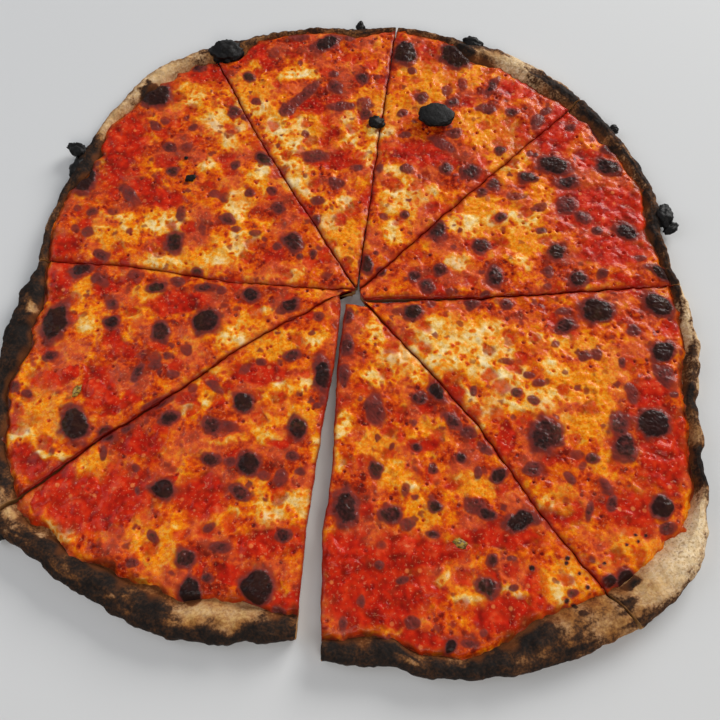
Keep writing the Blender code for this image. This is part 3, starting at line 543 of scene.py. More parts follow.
def photo_to_plan(px, py, level):
    """Plan position of something seen at a pixel of the photograph, at a height."""
    right = (px - PICTURE_MIDDLE) / FOCAL_PX
    down = (py - PICTURE_MIDDLE) / FOCAL_PX
    reach = (CAMERA_HEIGHT - level) / (math.sin(LOOK_DOWN) + down * math.cos(LOOK_DOWN))
    ahead = math.cos(LOOK_DOWN) - down * math.sin(LOOK_DOWN)
    return CAMERA_FOOT[0] + reach * right, CAMERA_FOOT[1] + reach * ahead


def cut_side(name, side):
    """Points of one side of a cut; side is +1 for the side the angle grows to."""
    points = CUTS[name]
    moved = []
    for i, (x, y, gap) in enumerate(points):
        before = points[max(i - 1, 0)]
        after = points[min(i + 1, len(points) - 1)]
        run = Vector((after[0] - before[0], after[1] - before[1])).normalized()
        moved.append((x - run.y * gap * 0.5 * side, y + run.x * gap * 0.5 * side))
    return moved


def slice_sides(number):
    """The two sides of a slice from its point to the rim, as arrays of plan points."""
    clockwise, other, tip = SLICES[number - 1]
    sides = []
    for name, side in ((clockwise, 1.0), (other, -1.0)):
        points = np.array([tip] + cut_side(name, side))
        angle = math.degrees(math.atan2(points[-1, 1], points[-1, 0]))
        reach = float(table_value(RIM, angle, REACH))
        points[-1] *= reach / np.hypot(*points[-1])
        sides.append(points)
    return sides


def along(points, distance):
    """Plan points at a distance along a side."""
    steps = np.hypot(*np.diff(points, axis=0).T)
    marks = np.concatenate([[0.0], np.cumsum(steps)])
    return np.stack([np.interp(distance, marks, points[:, 0]),
                     np.interp(distance, marks, points[:, 1])]), marks[-1]


def slice_turn(sides):
    """The angle at which a slice starts on the rim and the angle that it takes up."""
    start, end = [math.degrees(math.atan2(side[-1, 1], side[-1, 0])) for side in sides]
    return start, (end - start) % 360.0


def plan_of(sides, u, v, inset):
    """Plan position for share u from point to rim, share v across, with the rim inset."""
    start, turn = slice_turn(sides)
    angle = start + turn * v
    reach = table_value(RIM, angle, REACH)
    rim = np.stack([np.cos(np.radians(angle)), np.sin(np.radians(angle))]) * reach
    spots = []
    shares = []
    for side in sides:
        length = along(side, 0.0)[1]
        distance = u * (length - inset)
        spots.append(along(side, distance)[0])
        shares.append(distance / length)
    chord = sides[0][-1][:, None] * (1.0 - v) + sides[1][-1][:, None] * v
    spot = spots[0] * (1.0 - v) + spots[1] * v
    share = shares[0] * (1.0 - v) + shares[1] * v
    across = np.hypot(*(spots[1] - spots[0]))
    x, y = spot + (rim - chord) * share
    # a small sideways drift keeps cuts and edges from being ruler-straight
    drift_x = land(x, y, (0.55, 11.0, 71), (0.22, 4.0, 72))
    drift_y = land(x, y, (0.55, 11.0, 73), (0.22, 4.0, 74))
    return x + drift_x, y + drift_y, across


def over_cut(x, y, v, across, sides, creep):
    """Points moved out over the nearer cut, less so where the slice is narrow."""
    start, turn = slice_turn(sides)
    middle = math.radians(start + turn * 0.5)
    creep = creep * np.where(v < 0.5, -1.0, 1.0) * ease(0.0, 14.0, across)
    return x - math.sin(middle) * creep, y + math.cos(middle) * creep


def around(px, py):
    """Middle of a pixel in the plan, and the steps that turn plan offsets into pixels."""
    here = np.array(photo_to_plan(px, py, TOPPING_LEVEL))
    right = np.array(photo_to_plan(px + 1.0, py, TOPPING_LEVEL)) - here
    up = np.array(photo_to_plan(px, py - 1.0, TOPPING_LEVEL)) - here
    size = math.sqrt(abs(right[0] * up[1] - right[1] * up[0]))
    return here, np.linalg.inv(np.stack([right, up], axis=1)), size


def ellipse(dx, dy, steps, long, wide, turn):
    """Distance from the middle of an ellipse read in pixels, 1 on its edge."""
    across = steps[0, 0] * dx + steps[0, 1] * dy
    upward = steps[1, 0] * dx + steps[1, 1] * dy
    cosine = math.cos(math.radians(turn))
    sine = math.sin(math.radians(turn))
    return np.hypot((across * cosine + upward * sine) / (long * 0.5),
                    (upward * cosine - across * sine) / (wide * 0.5))


def points_near(x, y, middle, reach):
    """Indices of the points inside a square round a middle."""
    return np.nonzero((np.abs(x - middle[0]) < reach) & (np.abs(y - middle[1]) < reach))[0]


def area_mask(x, y, areas, soft, seed):
    """Strength of a set of listed areas with ragged, drifting edges."""
    drift_x = land(x, y, (4.2, 16.0, seed), (2.2, 6.0, seed + 1))
    drift_y = land(x, y, (4.2, 16.0, seed + 2), (2.2, 6.0, seed + 3))
    mask = np.zeros(x.shape)
    for px, py, long, wide, turn in areas:
        middle, steps, size = around(px, py)
        near = points_near(x, y, middle, max(long, wide) * size * 1.2 + 6.0)
        if not len(near):
            continue
        away = ellipse(x[near] + drift_x[near] - middle[0], y[near] + drift_y[near] - middle[1],
                       steps, long, wide, turn)
        mask[near] = np.maximum(mask[near], ease(1.0 + soft, 1.0 - soft, away))
    return mask


def blister_relief(x, y):
    """Height that the blisters add, how burnt each point is, and how wrinkled."""
    lift = np.zeros(x.shape)
    burnt = np.zeros(x.shape)
    skin = np.zeros(x.shape)
    drift_x = land(x, y, (1.05, 7.0, 33), (0.26, 2.6, 34))
    drift_y = land(x, y, (1.05, 7.0, 35), (0.26, 2.6, 36))
    wobble = land(x, y, (0.20, 7.0, 31), (0.07, 2.8, 32))
    fray = 0.5 + 0.5 * hills(x, y, 5.0, 37)
    mottle = land(x, y, (0.10, 3.4, 38), (0.06, 1.7, 39))
    for px, py, long, wide, turn, tone in BLISTERS:
        middle, steps, size = around(px, py)
        half = min(long, wide) * size * 0.5
        near = points_near(x, y, middle, max(long, wide) * size * 1.1 + 3.0)
        if not len(near):
            continue
        drift = min(1.0, half / 4.0) * (1.5 - 0.5 * tone)
        away = ellipse(x[near] - middle[0] + drift_x[near] * drift,
                       y[near] - middle[1] + drift_y[near] * drift, steps, long, wide, turn)
        away = away * (1.0 + wobble[near])
        high = half * (0.08 + 0.36 * max(tone - 0.5, 0.0))
        lift[near] = np.maximum(lift[near], high * dome(away))
        # the core leans to one side, another one for each blister
        lean = math.radians((px * 37.0 + py * 91.0) % 360.0)
        core_away = np.hypot(x[near] - middle[0] - 0.20 * half * math.cos(lean),
                             y[near] - middle[1] - 0.20 * half * math.sin(lean)) / half
        core_away = np.maximum(away, 0.25 * core_away + 0.75 * away)
        # its dark core, the browned skirt round it and a wide faint halo
        edge = 0.20 + 0.72 * (1.0 - tone)
        mark = tone * ease(1.08 + edge * 0.5, 0.92 - edge, core_away) * (1.0 + mottle[near])
        skirt = min(tone, 0.60) * ease(1.50, 0.80, away) * (0.72 + 0.5 * fray[near])
        halo = 0.34 * tone * ease(1.05 + 6.5 / (half + 1.5), 0.90, away) * (0.35 + 0.85 * fray[near])
        burnt[near] = np.maximum(burnt[near], np.maximum(np.maximum(mark, skirt), halo))
        skin[near] = np.maximum(skin[near], ease(1.05, 0.75, away) * tone)
    return lift, burnt, skin


def topping(x, y):
    """Height of the cheese and the strength of everything that colours it."""
    lift, burnt, skin = blister_relief(x, y)
    swirl_x = x + land(x, y, (2.2, 9.0, 101), (1.0, 3.6, 103))
    swirl_y = y + land(x, y, (2.2, 9.0, 102), (1.0, 3.6, 104))
    tomato = area_mask(x, y, TOMATO_AREAS, 0.25, 41)
    cream = area_mask(x, y, CREAM_AREAS, 0.5, 51)
    gold = area_mask(x, y, YELLOW_AREAS, 0.5, 61)
    toasted = area_mask(x, y, TOASTED_AREAS, 0.6, 65)
    tomato = tomato * (1.0 - 0.55 * gold)
    # stray scraps of tomato in the cheese
    specks, chance = grains(swirl_x, swirl_y, 12.0, 81)
    stray = ease(0.46, 0.24, specks) * (chance > 0.66)
    tomato = np.maximum(tomato, 0.8 * stray)
    # how white the melted cheese is left: threads of curd in a net of red and orange
    spots, spot_share = grains(swirl_x, swirl_y, 5.0, 87)
    spot = ease(0.36, 0.16, spots) * (spot_share > 0.35)
    white = 0.37 + 0.22 * hills(swirl_x, swirl_y, 9.5, 115)
    white = white + land(x, y, (0.15, 4.4, 116), (0.07, 2.1, 117))
    white = white + 0.36 * cream + 0.34 * gold * (1.0 - cream) - 0.20 * toasted
    white = white - (0.16 + 0.12 * cream) * spot
    ceiling = 0.56 + 0.44 * np.maximum(cream, ease(0.1, 0.5, hills(x, y, 20.0, 118)) * (1.0 - gold))
    white = np.minimum(white, ceiling)
    # lumps and beads of curd, pin holes left by bubbles, and pulp in the tomato
    lumps, lump_share = grains(swirl_x, swirl_y, 5.2, 91)
    curd = dome(lumps / 0.55) * lump_share
    beads, bead_share = grains(x, y, 2.6, 95)
    bead = dome(beads / 0.5) * bead_share
    pits, pit_share = grains(x, y, 8.0, 99)
    pit = ease(0.17, 0.05, pits) * (pit_share > 0.6)
    pulp, pulp_share = grains(swirl_x, swirl_y, 8.5, 105)
    pulp_lump = dome(pulp / 0.6) * (0.3 + 0.7 * pulp_share)
    # the tomato's tone drifts at random and is raised on top of its lumps: painted highlight
    pulp_tone_and_highlight = 0.46 + 0.30 * hills(swirl_x, swirl_y, 8.0, 119) + 0.24 * hills(x, y, 3.0, 120)
    pulp_tone_and_highlight = pulp_tone_and_highlight + 0.22 * (pulp_lump - 0.3) + 0.12 * hills(x, y, 30.0, 121)
    # lumps of tomato stand up, rounded and glossy
    stood = np.zeros(x.shape)
    for px, py, long, wide, turn in TOMATO_LUMPS:
        middle, steps, size = around(px, py)
        away = ellipse(swirl_x - middle[0], swirl_y - middle[1], steps, long, wide, turn)
        stood = np.maximum(stood, dome(away) ** 0.6)
    tomato = np.maximum(tomato, ease(0.0, 0.35, stood))
    # lumps that stand up are painted lighter as well: painted highlight
    pulp_tone_and_highlight = pulp_tone_and_highlight + 0.10 * stood
    ring = np.zeros(x.shape)
    for px, py, wide in OIL_RINGS:
        middle, steps, size = around(px, py)
        away = np.hypot(x - middle[0], y - middle[1]) / (wide * size * 0.5)
        ring = np.maximum(ring, np.exp(-((away - 0.75) / 0.22) ** 2))
    tomato = tomato * (1.0 - ring)
    white = np.maximum(white, 0.66 * ring)
    # small scorched flecks between the blisters
    flecks, fleck_share = grains(x + 1.1 * hills(x, y, 2.7, 107), y + 1.1 * hills(x, y, 2.7, 108),
                                 5.6, 109)
    size = 0.14 + 0.20 * np.mod(fleck_share * 7.0, 1.0)
    fleck = ease(size + 0.22, size - 0.12, flecks) * (fleck_share > 0.80)
    burnt = np.maximum(burnt, (0.22 + 0.32 * np.mod(fleck_share * 13.0, 1.0)) * fleck
                       * (1.0 - 0.5 * tomato))
    # the relief of the cheese, calmer where it is tomato or plain cream
    calm = 1.0 - 0.5 * tomato - 0.2 * cream
    height = CHEESE_TOP + land(x, y, (0.55, 33.0, 1), (0.60, 14.0, 2))
    height += calm * (0.70 * hills(swirl_x, swirl_y, 7.0, 3) + 0.60 * curd - 0.2)
    height += (1.0 - 0.45 * tomato) * (0.20 * hills(x, y, 3.4, 4) + 0.14 * bead)
    height += 0.05 * hills(x, y, 1.8, 5)
    height += 1.7 * stood + 0.7 * ring
    height += 0.35 * cream - 0.75 * tomato - 0.9 * pit + tomato * 0.75 * pulp_lump
    # wrinkled, cracked skin of the burnt blisters
    crease = 1.0 - np.abs(hills(x, y, 2.3, 6)) * 2.2
    height += lift + skin * (0.26 * crease + 0.22 * hills(x, y, 1.5, 7))
    # a rosy film where cheese and tomato have set together
    rosy = ease(-0.15, 0.45, hills(x, y, 17.0, 113)) * (1.0 - 0.7 * gold) * (1.0 - 0.4 * cream)
    return {"height": height, "burnt": burnt, "tomato": tomato,
            "white": white - 0.3 * pit, "rosy": rosy, "pulp": pulp_tone_and_highlight}


def fine_wedge(rows, wall_steps):
    """Mesh of a three-cornered block: x is the row, y / x the share across, z the level."""
    bm = bmesh.new()
    bmesh.ops.create_circle(bm, cap_ends=True, segments=3, radius=1.0)
    bm.verts.ensure_lookup_table()
    for vert, spot in zip(bm.verts, ((0.0, 0.0, 1.0), (1.0, 0.0, 1.0), (1.0, 1.0, 1.0))):
        vert.co = spot
    bmesh.ops.subdivide_edges(bm, edges=bm.edges[:], cuts=rows - 1, use_grid_fill=True)
    brim = [edge for edge in bm.edges if edge.is_boundary]
    out = bmesh.ops.extrude_edge_only(bm, edges=brim)
    for item in out["geom"]:
        if isinstance(item, bmesh.types.BMVert):
            item.co.z = 0.0
    foot = [g for g in out["geom"] if isinstance(g, bmesh.types.BMEdge) and g.is_boundary]
    bmesh.ops.holes_fill(bm, edges=foot, sides=0)
    walls = [e for e in bm.edges if abs(e.verts[0].co.z - e.verts[1].co.z) > 0.5]
    bmesh.ops.subdivide_edges(bm, edges=walls, cuts=wall_steps - 1)
    # the underside is split into flat strips from cut to cut, with a sharp edge all round
    low = [vert for vert in bm.verts if vert.co.z < 1e-6]
    left = {round(vert.co.x * rows): vert for vert in low if vert.co.y < 1e-6}
    right = {round(vert.co.x * rows): vert for vert in low if vert.co.x - vert.co.y < 1e-6}
    for row in range(STRIP_ROWS, rows, STRIP_ROWS):
        bmesh.ops.connect_verts(bm, verts=[left[row], right[row]])
    bmesh.ops.recalc_face_normals(bm, faces=bm.faces[:])
    lowest = {face for face in bm.faces if all(vert.co.z < 1e-6 for vert in face.verts)}
    for face in bm.faces:
        face.smooth = face not in lowest
        face.material_index = 1 if face in lowest else 0
    for edge in bm.edges:
        edge.smooth = len({face in lowest for face in edge.link_faces}) == 1
    mesh = bpy.data.meshes.new("wedge")
    bm.to_mesh(mesh)
    bm.free()
    return mesh


def wedge_shares(mesh):
    """Row share, share across and level of every point of a fresh wedge."""
    flat = np.empty(len(mesh.vertices) * 3)
    mesh.vertices.foreach_get("co", flat)
    x, y, level = flat.reshape(-1, 3).T
    v = np.where(x > 1e-6, y / np.maximum(x, 1e-6), 0.5)
    return x, np.clip(v, 0.0, 1.0), level


def stand_piece(name, mesh, node=None):
    """Add a mesh to the scene as a piece, in place of its node where it stands for one."""
    mesh.name = name
    piece = bpy.data.objects.new(name, mesh)
    bpy.context.scene.collection.objects.link(piece)
    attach(piece, "root")
    if node:
        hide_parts(node)


def finish_mesh(mesh, x, y, z, marks, materials):
    """Place a wedge's points and give it its marks, and materials for its top and underside."""
    flat = np.stack([x + CROSSING[0], y + CROSSING[1], z], axis=1) * MM
    mesh.vertices.foreach_set("co", flat.ravel())
    for mark, values in marks.items():
        layer = mesh.attributes.new(mark, "FLOAT", "POINT")
        layer.data.foreach_set("value", np.clip(values, 0.0, 1.0).astype(np.float32))
    for material in materials:
        mesh.materials.append(material)
    mesh.update()


def start_slice(number, blank):
    """A slice's own wedge, its shares and levels, its two sides and the angle of each point."""
    mesh = blank.copy()
    u, v, level = wedge_shares(mesh)
    sides = slice_sides(number)
    start, turn = slice_turn(sides)
    return mesh, u, v, level, sides, start + turn * v


def topping_edge(angle, bare):
    """How far the topping stops short of the rim's outer edge, unevenly."""
    arc = np.radians(angle) * ROUND_RADIUS
    ragged = land(arc, np.zeros(angle.shape), (3.2, 22.0, 21), (1.7, 7.0, 24))
    return bare + TOPPING_MARGIN + ragged * np.minimum(1.0, bare / 9.0)


def make_cheese(number, blank, material):
    """Melted cheese of a slice, with its blisters, sagging over the cuts and the rim."""
    mesh, u, v, level, sides, angle = start_slice(number, blank)
    bare = bare_rim(angle)
    inset = topping_edge(angle, bare)
    x, y, across = plan_of(sides, u, v, inset)
    marks = topping(x, y)
    # melted cheese creeps back over the cut, unevenly
    from_cut = np.minimum(v, 1.0 - v) * across
    creep = (0.26 + 0.40 * hills(x, y, 6.5, 130 + number)) * np.exp(-from_cut / 1.2)
    x, y = over_cut(x, y, v, across, sides, np.clip(creep, 0.0, 0.55))
    top = marks.pop("height")
    from_rim = (1.0 - u) * TOPPING_LENGTH
    thin = ease(0.0, 7.0, from_rim)
    top = CHEESE_FOOT + 0.4 + (top - CHEESE_FOOT - 0.4) * (0.22 + 0.78 * thin)
    # the topping runs up on to the rim and is scorched there
    band = bare + RISE_MARGIN
    rise = np.clip((band - inset - from_rim) / band, 0.0, 1.0)
    sink = ease(0.0, 3.0, from_rim + 1.6 * hills(x, y, 3.6, 29))
    over_rim = rim_profile(rise, table_value(RIM, angle, CREST)) - 0.45 + 0.85 * sink
    top = np.where(from_rim < 20.0, np.maximum(top, over_rim), top)
    top = over_rim + (top - over_rim) * ease(0.0, 3.6, from_rim)
    near_rim = ease(5.5, 0.0, from_rim + 5.0 * hills(x, y, 8.0, 28))
    marks["browned"] = (0.35 + 0.65 * table_value(RIM_TONE, angle, BURNT_INSIDE)) * near_rim
    # the cheese sags over the cut and is dragged down by the blade
    sag = (1.15 + 0.5 * hills(x, y, 6.0, 22)) * np.exp(-from_cut / 1.1) * ease(0.0, 12.0, across)
    top = np.where(from_rim > 4.0, np.maximum(top - sag, CHEESE_FOOT + 0.3), top)
    foot = np.minimum(CHEESE_FOOT - 0.5, top - 0.3)
    z = foot + (top - foot) * level
    # how wide the blade has dragged sauce up beside the cut
    trough = 0.9 + 0.8 * np.clip(hills(x, y, 13.0, 29) + 0.3, 0.0, 1.0)
    marks["cut"] = np.exp(-(from_cut / trough) ** 1.5)
    finish_mesh(mesh, x, y, z, marks, [material, material])
    stand_piece(f"melted_cheese_{number}", mesh, f"cheese_{number}")


def make_sauce(number, blank, material):
    """Cooked tomato of a slice, which shows at the cuts."""
    mesh, u, v, level, sides, angle = start_slice(number, blank)
    inset = topping_edge(angle, bare_rim(angle)) + SAUCE_MARGIN \
        + 0.6 * hills(angle * 3.4, u * 0.0, 7.0, 25)
    x, y, across = plan_of(sides, u, v, inset)
    from_cut = np.minimum(v, 1.0 - v) * across
    x, y = over_cut(x, y, v, across, sides, 0.30 * np.exp(-from_cut / 2.0))
    top = SAUCE_TOP + land(x, y, (0.35, 7.0, 26), (0.2, 2.6, 27))
    edge = ease(1.0, 0.985, u)
    z = SAUCE_FOOT + (top - 0.5 * (1.0 - edge) - SAUCE_FOOT) * level
    finish_mesh(mesh, x, y, z, {}, [material, material])
    stand_piece(f"cooked_tomato_{number}", mesh, f"sauce_{number}")


def rim_profile(inner, crest):
    """Height of the dough for a share from the topping's edge to the outer edge."""
    return DOUGH_TOP + (crest - DOUGH_TOP) * np.interp(inner, RIM_SHARES, RIM_RISES)


def make_dough(number, blank, baked, underside):
    """Baked dough of a slice: thin under the topping, puffed up and scorched at the rim."""
    mesh, row, v, level, sides, angle = start_slice(number, blank)
    split = HIDDEN_DOUGH_ROWS / DOUGH_ROWS
    band = bare_rim(angle) + RISE_MARGIN
    inner = np.clip((row - split) / (1.0 - split), 0.0, 1.0)
    u = np.where(row < split, row / split, 1.0)
    # the underside curves in to its foot, and the side of the rim bulges between
    inset = band * (1.0 - inner) + np.interp(level, WALL_LEVELS, WALL_INSETS) * inner ** 2
    x, y, across = plan_of(sides, u, v, inset)
    # the outer edge is ragged
    distance = np.maximum(np.hypot(x, y), 1.0)
    ragged = land(x, y, (0.8, 8.0, 12), (0.4, 3.0, 13))
    push = inner ** 2 * ragged / distance
    x = x + x * push
    y = y + y * push
    crest = table_value(RIM, angle, CREST)
    lumps, lump_share = grains(x, y, 6.0, 14)
    rough = 0.9 * dome(lumps / 0.55) * lump_share
    rough = rough + land(x, y, (0.55, 9.0, 15), (0.35, 3.6, 16), (0.12, 1.5, 17))
    top = rim_profile(inner, crest) + rough * ease(0.08, 0.35, inner)
    z = top * np.interp(level, WALL_LEVELS, WALL_RISES)
    from_cut = np.minimum(v, 1.0 - v) * across
    z = z - 0.5 * np.exp(-from_cut / 0.8) * level * ease(0.2, 0.6, inner)
    # how burnt it is, outside and inside the crest
    outside = ease(0.60, 0.94, inner + 0.12 * hills(x, y, 7.0, 18))
    burnt = table_value(RIM_TONE, angle, BURNT_OUTSIDE) * outside
    burnt = burnt + table_value(RIM_TONE, angle, BURNT_INSIDE) * (1.0 - outside)
    burnt = burnt + land(x, y, (0.22, 12.0, 19), (0.14, 4.0, 20))
    # long creases that run with the rim
    streak = ease(0.15, 0.55, hills(np.radians(angle) * ROUND_RADIUS, inner * band * 4.0, 14.0, 11))
    burnt = burnt + 0.30 * streak * ease(0.1, 0.4, inner)
    pale = area_mask(x, y, PALE_RIM, 0.6, 141) * (1.0 - 0.8 * outside)
    dark = area_mask(x, y, DARK_RIM, 0.45, 145)
    burnt = (burnt + 0.35 * dark) * (1.0 - 0.72 * pale)
    stain = ease(0.30, 0.06, inner + 0.25 * hills(x, y, 8.0, 149))
    # blisters that run over on to the rim
    char = np.zeros(x.shape)
    on_rim = np.nonzero(inner > 0.05)[0]
    lift, char[on_rim] = blister_relief(x[on_rim], y[on_rim])[:2]
    z[on_rim] += lift * 0.6 * level[on_rim]
    burnt = np.maximum(burnt, 1.25 * char * ease(0.30, 0.60, char))
    # pale crumb at the cuts, darker towards the foot
    on_cut = (from_cut < 0.05) & (level < 0.97)
    marks = {
        "burnt": np.where(on_cut, 0.75 * ease(0.30, 0.06, level), burnt),
        "crumb": np.where(on_cut, 1.0, 0.0),
        "flour": np.maximum(table_value(RIM_TONE, angle, FLOURY), 0.16 * pale)
        + 0.25 * hills(x, y, 10.0, 23),
        "stain": stain,
    }
    finish_mesh(mesh, x, y, z, marks, [baked, underside])
    stand_piece(f"baked_dough_{number}", mesh, f"crust_{number}")


def colour(code):
    """Linear colour of an sRGB hex code."""
    parts = [int(code[i:i + 2], 16) / 255.0 for i in (0, 2, 4)]
    line = [p / 12.92 if p <= 0.04045 else ((p + 0.055) / 1.055) ** 2.4 for p in parts]
    return (*line, 1.0)


def add(tree, kind, settings, sockets):
    """A shader node with its settings and its sockets set or linked."""
    made = tree.nodes.new(kind)
    for name, value in settings.items():
        setattr(made, name, value)
    for socket, value in sockets.items():
        if isinstance(value, bpy.types.NodeSocket):
            tree.links.new(value, made.inputs[socket])
        else:
            made.inputs[socket].default_value = value
    return made


def new_material(name):
    """An empty material, its tree and the place its patterns are read from."""
    material = bpy.data.materials.new(name)
    material.use_nodes = True
    tree = material.node_tree
    tree.nodes.clear()
    place = add(tree, "ShaderNodeTexCoord", {}, {}).outputs["Object"]
    return material, tree, place


def pattern(tree, place, size_mm, low, high, detail=3.0, shift=0.0):
    """A share of one that drifts over a surface, with spots about size_mm apart."""
    moved = add(tree, "ShaderNodeMapping", {}, {"Vector": place, "Location": (shift,) * 3})
    spots = add(tree, "ShaderNodeTexNoise", {}, {
        "Vector": moved.outputs[0], "Scale": 1.0 / (size_mm * MM), "Detail": detail,
        "Roughness": 0.6})
    return add(tree, "ShaderNodeMapRange", {"interpolation_type": "SMOOTHSTEP"}, {
        "Value": spots.outputs["Fac"], "From Min": low, "From Max": high}).outputs[0]


def times(tree, a, b):
    """Two shares multiplied."""
    return add(tree, "ShaderNodeMath", {"operation": "MULTIPLY", "use_clamp": True},
               {0: a, 1: b}).outputs[0]


def mark_of(tree, name):
    """One of the piece's own marks."""
    return add(tree, "ShaderNodeAttribute", {"attribute_name": name}, {}).outputs["Fac"]


def laid_over(tree, base, layers):
    """A colour with others laid over it, each by its share."""
    for share, over in layers:
        over = colour(over) if isinstance(over, str) else over
        base = add(tree, "ShaderNodeMix", {"data_type": "RGBA"},
                   {0: share, 6: base, 7: over}).outputs[2]
    return base


def colour_steps(tree, share, steps):
    """A colour read off a row of steps, each a share and a hex code."""
    made = add(tree, "ShaderNodeValToRGB", {}, {"Fac": share})
    ramp = made.color_ramp
    for index, (at, code) in enumerate(steps):
        step = ramp.elements[index] if index < 2 else ramp.elements.new(at)
        step.position = at
        step.color = colour(code)
    return made.outputs[0]


def finish_material(tree, sockets, bump_mm, bump_size_mm, place):
    """The surface itself, with a fine grain too small for the mesh."""
    grain = add(tree, "ShaderNodeTexNoise", {}, {
        "Vector": place, "Scale": 1.0 / (bump_size_mm * MM), "Detail": 3.0})
    bump = add(tree, "ShaderNodeBump", {}, {
        "Strength": 0.7, "Distance": bump_mm * MM, "Height": grain.outputs["Fac"]})
    surface = add(tree, "ShaderNodeBsdfPrincipled", {}, {
        **sockets, "Normal": bump.outputs[0]})
    add(tree, "ShaderNodeOutputMaterial", {}, {"Surface": surface.outputs[0]})


def melted_mozzarella():
    """Mozzarella melted into crushed tomato: orange where the two mix, oily and wet."""
    material, tree, place = new_material("melted_mozzarella_in_tomato")
    burnt = mark_of(tree, "burnt")
    tomato = mark_of(tree, "tomato")
    white = mark_of(tree, "white")
    fine = pattern(tree, place, 2.0, 0.40, 0.62, 3.0, 0.3)
    # fine pale and dark specks, partly painted glints and painted shade
    curds_and_glints = pattern(tree, place, 1.5, 0.58, 0.70, 2.0, 3.1)
    grit_and_shade = pattern(tree, place, 1.3, 0.58, 0.70, 2.0, 4.7)
    # cheese and tomato marbled together, from dark red through orange to milk white
    marbling = add(tree, "ShaderNodeMath", {"operation": "MULTIPLY_ADD"}, {
        0: fine, 1: 0.13, 2: white}).outputs[0]
    base = colour_steps(tree, marbling, (
        (0.10, "701406"), (0.24, "A82808"), (0.38, "D04A08"), (0.52, "E26C06"),
        (0.63, "F08E06"), (0.72, "EEA838"), (0.82, "F3C66E"), (1.00, "F8DFA8")))
    # crushed tomato from dark to bright red: the pulp tone drifts at random, and its pinkish top end
    # is painted highlight on the tops of the lumps
    red = colour_steps(tree, mark_of(tree, "pulp"), (
        (0.05, "6A0C05"), (0.28, "961207"), (0.48, "B91B08"), (0.66, "CC2A0D"),
        (0.84, "D94A26"), (1.00, "E27A4A")))
    base = laid_over(tree, base, (
        (times(tree, mark_of(tree, "rosy"), 0.42), "D05A38"),
        (times(tree, tomato, 0.96), red),
    ))
    # pale seeds in the crushed tomato, partly painted glints on its wet skin
    seeds_and_glints = add(tree, "ShaderNodeTexVoronoi", {}, {"Vector": place, "Scale": 1.0 / (6.0 * MM)})
    seed = add(tree, "ShaderNodeMapRange", {}, {
        "Value": seeds_and_glints.outputs["Distance"], "From Min": 0.24, "From Max": 0.13}).outputs[0]
    few = add(tree, "ShaderNodeMapRange", {}, {
        "Value": seeds_and_glints.outputs["Color"], "From Min": 0.50, "From Max": 0.60}).outputs[0]
    base = laid_over(tree, base, (
        (times(tree, times(tree, seed, few), times(tree, tomato, 0.62)), "E88448"),
    ))
    # pale specks and dark grains too small for the mesh: partly curds and grit, partly painted
    # glints and painted fine shade on the wet surface
    base = laid_over(tree, base, (
        (times(tree, curds_and_glints, 0.30), "F0A070"),
        (times(tree, grit_and_shade, 0.34), "7A1C08"),
    ))
    # where the topping thins out on the rim it is browned like the dough
    browned = mark_of(tree, "browned")
    brown = colour_steps(tree, browned, (
        (0.20, "B4500E"), (0.60, "6E3010"), (0.95, "2C1B12")))
    # blisters are browned to maroon, then burnt to a purplish black
    scorch = add(tree, "ShaderNodeMath", {"operation": "MULTIPLY_ADD"}, {
        0: fine, 1: 0.10, 2: burnt}).outputs[0]
    char = colour_steps(tree, scorch, (
        (0.22, "9E3612"), (0.40, "8E2E1A"), (0.58, "7C2E26"), (0.74, "642A26"),
        (0.87, "3A1E1C"), (0.98, "191211")))
    over = add(tree, "ShaderNodeMapRange", {"interpolation_type": "SMOOTHSTEP"}, {
        "Value": burnt, "From Min": 0.06, "From Max": 0.56}).outputs[0]
    base = laid_over(tree, base, (
        (times(tree, browned, 0.9), brown),
        (times(tree, over, 0.97), char),
        (times(tree, mark_of(tree, "cut"), 0.80), "7E1408"),
    ))
    rough = add(tree, "ShaderNodeMapRange", {}, {
        "Value": burnt, "To Min": 0.38, "To Max": 0.58}).outputs[0]
    finish_material(tree, {
        "Base Color": base, "Roughness": rough, "Specular IOR Level": 0.08,
        "Coat Weight": 0.10, "Coat Roughness": 0.10}, 0.16, 1.1, place)
    return material


def cooked_tomato():
    """Crushed tomato cooked on the dough: deep red and wet, seen at cuts and edges."""
    material, tree, place = new_material("cooked_crushed_tomato")
    patches = pattern(tree, place, 5.0, 0.4, 0.6)
    base = laid_over(tree, colour("B5200E"), ((patches, "8A1209"),))
    finish_material(tree, {
        "Base Color": base, "Roughness": 0.34, "Specular IOR Level": 0.15,
        "Coat Weight": 0.2, "Coat Roughness": 0.12}, 0.15, 1.0, place)
    return material


